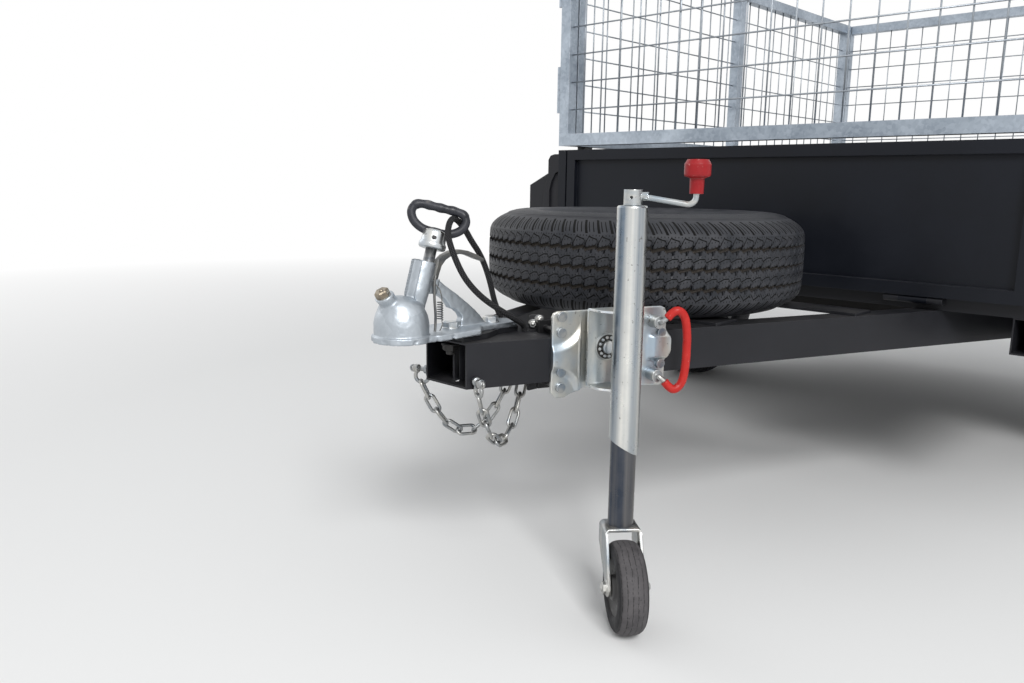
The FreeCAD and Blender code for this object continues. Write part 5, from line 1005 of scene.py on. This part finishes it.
# Jockey fork: one 5 mm strap bent over the wheel, its corners rounded by the press, on a bolt with two nuts.
# It swivels below the inner tube.
fork_zinc = zinc_plated("fork_zinc", (40.0, 40.0, 8.0), (0.27, 0.31, 0.35), (0.50, 0.49, 0.46), 0.34, 120.0,
                        radius=0.0022, cloudy=(0.30, 0.31, 0.31))
dress(fork_zinc, "bail_collars")
FORK_TURN = math.radians(-40)
TRAIL = Vector((math.cos(FORK_TURN), math.sin(FORK_TURN), 0))
ACROSS = Vector((-math.sin(FORK_TURN), math.cos(FORK_TURN), 0))
TRAIL_REACH, AXLE_UP, BOSS, STRAP, ARM_OUT, CHAMFER = 0.050, 0.075, 0.0145, 0.005, 0.031, 0.0008
CROWN_TOP, CROWN_FRONT, BEND_OUT, BEND_UP, BEND_OUTER = 0.164, -0.022, 0.0225, 0.1555, 0.0085
ARM_LEVELS = (0.0606, 0.0612, 0.063, 0.066, 0.070, 0.075, 0.085, 0.096, 0.107, 0.118, 0.128, 0.140, BEND_UP)
axle = middle_of("jockey_wheel")
fork_foot = Vector((axle.x, axle.y, 0)) - TRAIL * TRAIL_REACH


def strap_edges(up):
    """Front and back edge of a fork arm at one height."""
    if up < AXLE_UP:
        reach = math.sqrt(max(0.0, BOSS ** 2 - (AXLE_UP - up) ** 2))
        return TRAIL_REACH - reach, TRAIL_REACH + reach
    share = (up - AXLE_UP) / (CROWN_TOP - AXLE_UP)
    return max(CROWN_FRONT, TRAIL_REACH - BOSS - (up - AXLE_UP) * 1.085), 0.0645 - 0.0385 * share


arm = [(ARM_OUT, ARM_OUT - STRAP, up, up) for up in ARM_LEVELS]
for turn in (math.radians(15 * part) for part in range(1, 7)):
    arm.append((BEND_OUT + BEND_OUTER * math.cos(turn), BEND_OUT + (BEND_OUTER - STRAP) * math.cos(turn),
                BEND_UP + BEND_OUTER * math.sin(turn), BEND_UP + (BEND_OUTER - STRAP) * math.sin(turn)))
form = bmesh.new()
rings = []
for side, strap in ((1, arm), (-1, arm[::-1])):
    for out, inner, up, under_up in strap:
        front, back = strap_edges(min(up, CROWN_TOP))
        eased_out, eased_up = (out - CHAMFER, up) if up <= BEND_UP else (out, up - CHAMFER)
        spots = [(front + CHAMFER, out, up), (front, eased_out, eased_up), (front, inner, under_up),
                 (back, inner, under_up), (back, eased_out, eased_up), (back - CHAMFER, out, up)]
        rings.append([form.verts.new(fork_foot + TRAIL * along + ACROSS * (side * across) + UP * level)
                      for along, across, level in spots])
for near, far in zip(rings, rings[1:]):
    for corner in range(6):
        face = form.faces.new((near[corner], near[(corner + 1) % 6], far[(corner + 1) % 6], far[corner]))
        face.smooth = corner in (2, 5)
cap_ends(form, rings)
for outward in (ACROSS, -ACROSS):
    nut_foot = axle + outward * ARM_OUT
    closed_turned(form, nut_foot, outward, [(0.0118, 0), (0.012, 0.0006), (0.0118, 0.0014)], 32)
    hexagon(form, nut_foot + outward * 0.0014, outward, 0.0104, 0.0062, 0, 0.25)
    turned(form, nut_foot + outward * 0.0074, outward,
           [(0.0056, 0), (0.0056, 0.0018), (0.0046, 0.0028), (0, 0.0028)], 24)
rod(form, axle - ACROSS * ARM_OUT, ACROSS, 0.006, 2 * ARM_OUT)
finished(form, "bent_fork", "jockey_caster", "zinc_plate", [fork_zinc], "jockey_fork")

# Release bail: two plated wire ends out of the collars, joined by a bow in a thick red vinyl sleeve.
# The sleeve is pushed on over the wire.
BAIL_ALONG, SLEEVE_END, SLEEVE_RADIUS = 0.347, 0.0066, 0.0074
SLEEVE_LINE = [
    (0.009, 0.038, 0.028), (0.016, 0.042, 0.037), (0.024, 0.046, 0.0415), (0.034, 0.0475, 0.036),
    (0.041, 0.048, 0.022), (0.045, 0.048, -0.004), (0.0455, 0.048, -0.028), (0.045, 0.048, -0.052),
    (0.041, 0.048, -0.078), (0.034, 0.0475, -0.0915), (0.024, 0.046, -0.097), (0.016, 0.042, -0.0925),
    (0.009, 0.038, -0.0835),
]
sleeve_red = red_moulding("sleeve_red", (0.38, 0.010, 0.008), (0.50, 0.026, 0.020))
bow = smoothed([beside(BAIL_ALONG + along, out, up) for along, out, up in SLEEVE_LINE])
form = bmesh.new()
sweep(form, bow, [SLEEVE_END] + [SLEEVE_RADIUS] * (len(bow) - 2) + [SLEEVE_END], 20)
finished(form, "bail_sleeve", "chassis", "red_plastic", [sleeve_red], "jockey_bail")

# Jockey wheel: a worn grey solid-rubber tyre with a crowned tread, moulded on a dark nylon hub.
# It runs loose on the fork's bolt.
worn_rubber, tree, skin = new_finish("worn_grey_rubber", Specular_IOR_Level=0.25)
sideways = vector_calc("DOT_PRODUCT", vector_calc("SUBTRACT", where(tree), axle), ACROSS, "Value")
blotch, nick = cloud(tree, 42.0, 7.0, Roughness=0.65), cloud(tree, 260.0, 4.0)
winding = sideways * 380.0 + blotch * 3.0
crack = abs(winding.calc("SINE")).spread(0.26, 0.12) * nick.spread(0.40, 0.48)
coat = blotch.spread(0.32, 0.68).blend((0.054, 0.051, 0.054), (0.104, 0.098, 0.101))
coat = abs(sideways).spread(0.0185, 0.0228).blend(coat, (0.013, 0.013, 0.015))
coat = (crack * 0.85).blend(coat, (0.008, 0.0075, 0.0075))
feed(skin, Base_Color=nick.spread(0.64, 0.72, 0.0, 0.6).blend(coat, (0.010, 0.0095, 0.0095)),
     Roughness=blotch.spread(0.3, 0.7, 0.55, 0.82), Normal=bump(blotch * 0.5 + nick - crack, 0.5, 0.0009))
nylon, tree, skin, _ = mottled("dark_nylon_hub", 70.0, (0.020, 0.020, 0.022), (0.075, 0.073, 0.072),
                               0.38, 0.62)
feed(skin, Normal=effect(tree, edge_wear_and_highlight, Radius=0.0015, Grain=120.0)["Normal"])
TREAD_LINE = [(0.045, 0.02), (0.047, 0.0222), (0.05, 0.0236), (0.056, 0.024), (0.062, 0.0238),
              (0.0668, 0.0226), (0.0702, 0.02), (0.0728, 0.0158), (0.0742, 0.011), (0.0748, 0.0055)]
HUB_LINE = [(0.0064, 0.0236), (0.007, 0.024), (0.019, 0.024), (0.0205, 0.0228), (0.021, 0.015),
            (0.033, 0.015), (0.034, 0.0165), (0.0425, 0.0165), (0.044, 0.0185), (0.0455, 0.0202)]
form = bmesh.new()
far_side = [(radius, -half) for radius, half in reversed(TREAD_LINE)]
turned(form, axle, ACROSS, [*TREAD_LINE, (0.075, 0), *far_side], 96)
for outward in (ACROSS, -ACROSS):
    turned(form, axle, outward, HUB_LINE, 64, 1)
finished(form, "solid_rubber_wheel", "jockey_roller", "jockey_rubber", [worn_rubber, nylon], "jockey_wheel")

# Safety chains: welded short-link chain, plated. Each hangs in a curve from a bow shackle, pinned to the
# outer face of its drawbar member at the front, to the bar below the nose.
LINK_LONG, LINK_WIDE, LINK_WIRE = 0.0415, 0.0215, 0.0029
chain_zinc = zinc_plated("chain_zinc", 50.0, (0.25, 0.275, 0.30), (0.50, 0.49, 0.46), 0.32, 260.0,
                         cloudy=(0.28, 0.28, 0.28), worn=(0.78, 0.79, 0.79))
shackle_zinc = zinc_plated("shackle_zinc", 60.0, (0.25, 0.28, 0.31), (0.48, 0.47, 0.44), 0.32, 220.0,
                           cloudy=(0.28, 0.28, 0.28), worn=(0.80, 0.81, 0.81))


def link(form, middle, heading, flat):
    """A round-wire link with half-round ends; flat lies in its plane, across its length."""
    bend, straight = LINK_WIDE / 2 - LINK_WIRE, (LINK_LONG - LINK_WIDE) / 2
    path = []
    for end in (1, -1):
        for turn in (math.pi * (part / 10 - 0.5) for part in range(11)):
            path.append(middle + heading * (end * (straight + bend * math.cos(turn)))
                        + flat * (end * bend * math.sin(turn)))
    sweep(form, path, LINK_WIRE, 12, True, 1.0, heading.cross(flat))


for node in ("safety_chain_left", "safety_chain_right"):
    centres = [sum(corners, Vector()) / len(corners) for corners in islands(node)]
    line_up = [min(centres, key=lambda place: place.y)]
    while len(line_up) < len(centres):
        left = (place for place in centres if place not in line_up)
        line_up.append(min(left, key=lambda place: (place - line_up[-1]).length))
    ends = line_up[0] * 1.5 - line_up[1] * 0.5, line_up[-1] * 1.5 - line_up[-2] * 0.5
    hang = smoothed([ends[0], *line_up, ends[1]], False, 12)
    reached = [0.0]
    for near, far in zip(hang, hang[1:]):
        reached.append(reached[-1] + (far - near).length)
    count = round(reached[-1] / (LINK_LONG - 4 * LINK_WIRE))
    spots = []
    for index in range(2 * count + 1):
        goal = reached[-1] * index / (2 * count)
        spots.append(hang[next(step for step, gone in enumerate(reached) if gone >= goal - 1e-9)])
    form = bmesh.new()
    for index in range(count):
        start, stop = spots[2 * index], spots[2 * index + 2]
        heading = (stop - start).normalized()
        flat = heading.cross(Vector((1, 0.15, 0))).normalized()
        lean = math.radians((52 if index % 2 else -38) + 9 * math.sin(index * 2.3))
        link(form, (start + stop) / 2, heading, Matrix.Rotation(lean, 3, heading) @ flat)
    finished(form, node.replace("safety_chain", "welded_links"), "chassis", "zinc_plate", [chain_zinc], node)
HALF_BOW = [(0.009, 0.0), (0.0102, -0.0055), (0.0124, -0.0115), (0.0112, -0.018), (0.006, -0.0225)]
bow_line = [*[(-out, up) for out, up in HALF_BOW], (0.0, -0.0238), *reversed(HALF_BOW)]
BOW_WIRE, BOW_LEG, EYE_RADIUS, EYE_WIRE = 0.0033, 0.009, 0.005, 0.0017
form = bmesh.new()
for side in (1, -1):
    outward = Vector((MEMBER_OUT.x * side, MEMBER_OUT.y, 0))
    middle = from_nose(0.0704 * side, 0.00725, -0.061)
    sweep(form, smoothed([middle + outward * out + UP * up for out, up in bow_line], False, 5), BOW_WIRE, 14)
    for leg in (-BOW_LEG, BOW_LEG):
        closed_turned(form, middle + outward * (leg - 0.0034), outward,
                      [(0.0066, 0), (0.0074, 0.001), (0.0074, 0.0058), (0.0066, 0.0068)], 28)
    closed_turned(form, middle - outward * 0.0168, outward, [(0.0036, 0), (0.004, 0.001), (0.004, 0.030)], 20)
    closed_turned(form, middle + outward * 0.0126, outward,
                  [(0.0062, 0), (0.0066, 0.001), (0.0062, 0.0022), (0.0042, 0.0026), (0.0042, 0.004)], 24)
    eye = [middle + outward * (0.017 + EYE_RADIUS * math.cos(turn)) + UP * (EYE_RADIUS * math.sin(turn))
           for turn in turns(16)]
    sweep(form, eye, EYE_WIRE, 10, True)
finished(form, "bow_shackles", "chassis", "zinc_plate", [shackle_zinc], "chain_shackles")

# Lead bracket: an upright tab of thin steel plate, painted black. It stands on the nose plate behind the
# casting and carries two small plated bolts.
# The tab's edges are much lighter: partly rubbed paint and partly a painted highlight.
tab_paint = painted("tab_paint", (0.030, 0.030, 0.033), (0.16, 0.16, 0.17), 0.5)
TAB_ALONG, TAB_FACE = Vector((0.7071, 0.7071, 0)), Vector((0.7071, -0.7071, 0))
TAB_HALF_THICK = 0.0022
HALF_TAB = [(0.013, 0.0), (0.013, 0.0235), (0.0118, 0.0265), (0.0088, 0.028)]
tab_line = [(-0.013, 0.0), *HALF_TAB, *[(-along, up) for along, up in reversed(HALF_TAB[1:])]]
tab_foot = from_nose(0.036, 0.178, 0.0) - TAB_FACE * TAB_HALF_THICK
form = bmesh.new()
plate(form, [tab_foot + TAB_ALONG * along + UP * up for along, up in tab_line],
      TAB_FACE * (2 * TAB_HALF_THICK))
for place in (from_nose(0.0315, 0.1735, 0.012), from_nose(0.039, 0.181, 0.020)):
    closed_turned(form, place + TAB_FACE * 0.0021, TAB_FACE,
                  [(0.008, 0), (0.0082, 0.0006), (0.008, 0.0013)], 28, 1)
    hexagon(form, place + TAB_FACE * 0.0034, TAB_FACE, 0.0068, 0.0046, 1, 0.3)
    turned(form, place + TAB_FACE * 0.0078, TAB_FACE,
           [(0.003, 0), (0.0028, 0.0026), (0.0022, 0.0032), (0, 0.0032)], 18, 1)
    hexagon(form, place - TAB_FACE * 0.0021, -TAB_FACE, 0.0054, 0.0036, 1, 0.1)
finished(form, "lead_tab", "chassis", "dark_steel", [tab_paint, shackle_zinc], "lead_bracket")

# Tail lamps: a clear moulding over red, amber and white chambers, with fine prisms behind the face.
# One is fixed to each end of the plate below the tailgate.
PRISMS = 1600.0
lamp_lens, tree, skin = new_finish("lamp_lens", Coat_Weight=0.5)
x, _, level = parts_of(where(tree))
low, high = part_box("tail_lamps")
third = (high[2] - low[2]) / 3
tone = (level > low[2] + third).blend((0.55, 0.56, 0.56), (0.70, 0.22, 0.01))
tone = (level > low[2] + 2 * third).blend(tone, (0.45, 0.006, 0.008))
prism = (level * PRISMS).calc("SINE") * (x * PRISMS).calc("SINE")
feed(skin, Base_Color=prism.spread(-1.0, 1.0, 0.0, 0.35).blend(tone, (0.02, 0.005, 0.005)),
     Roughness=prism.spread(-1.0, 1.0, 0.08, 0.22), Normal=bump(prism, 0.4, 0.0006))
dress(lamp_lens, "tail_lamps")
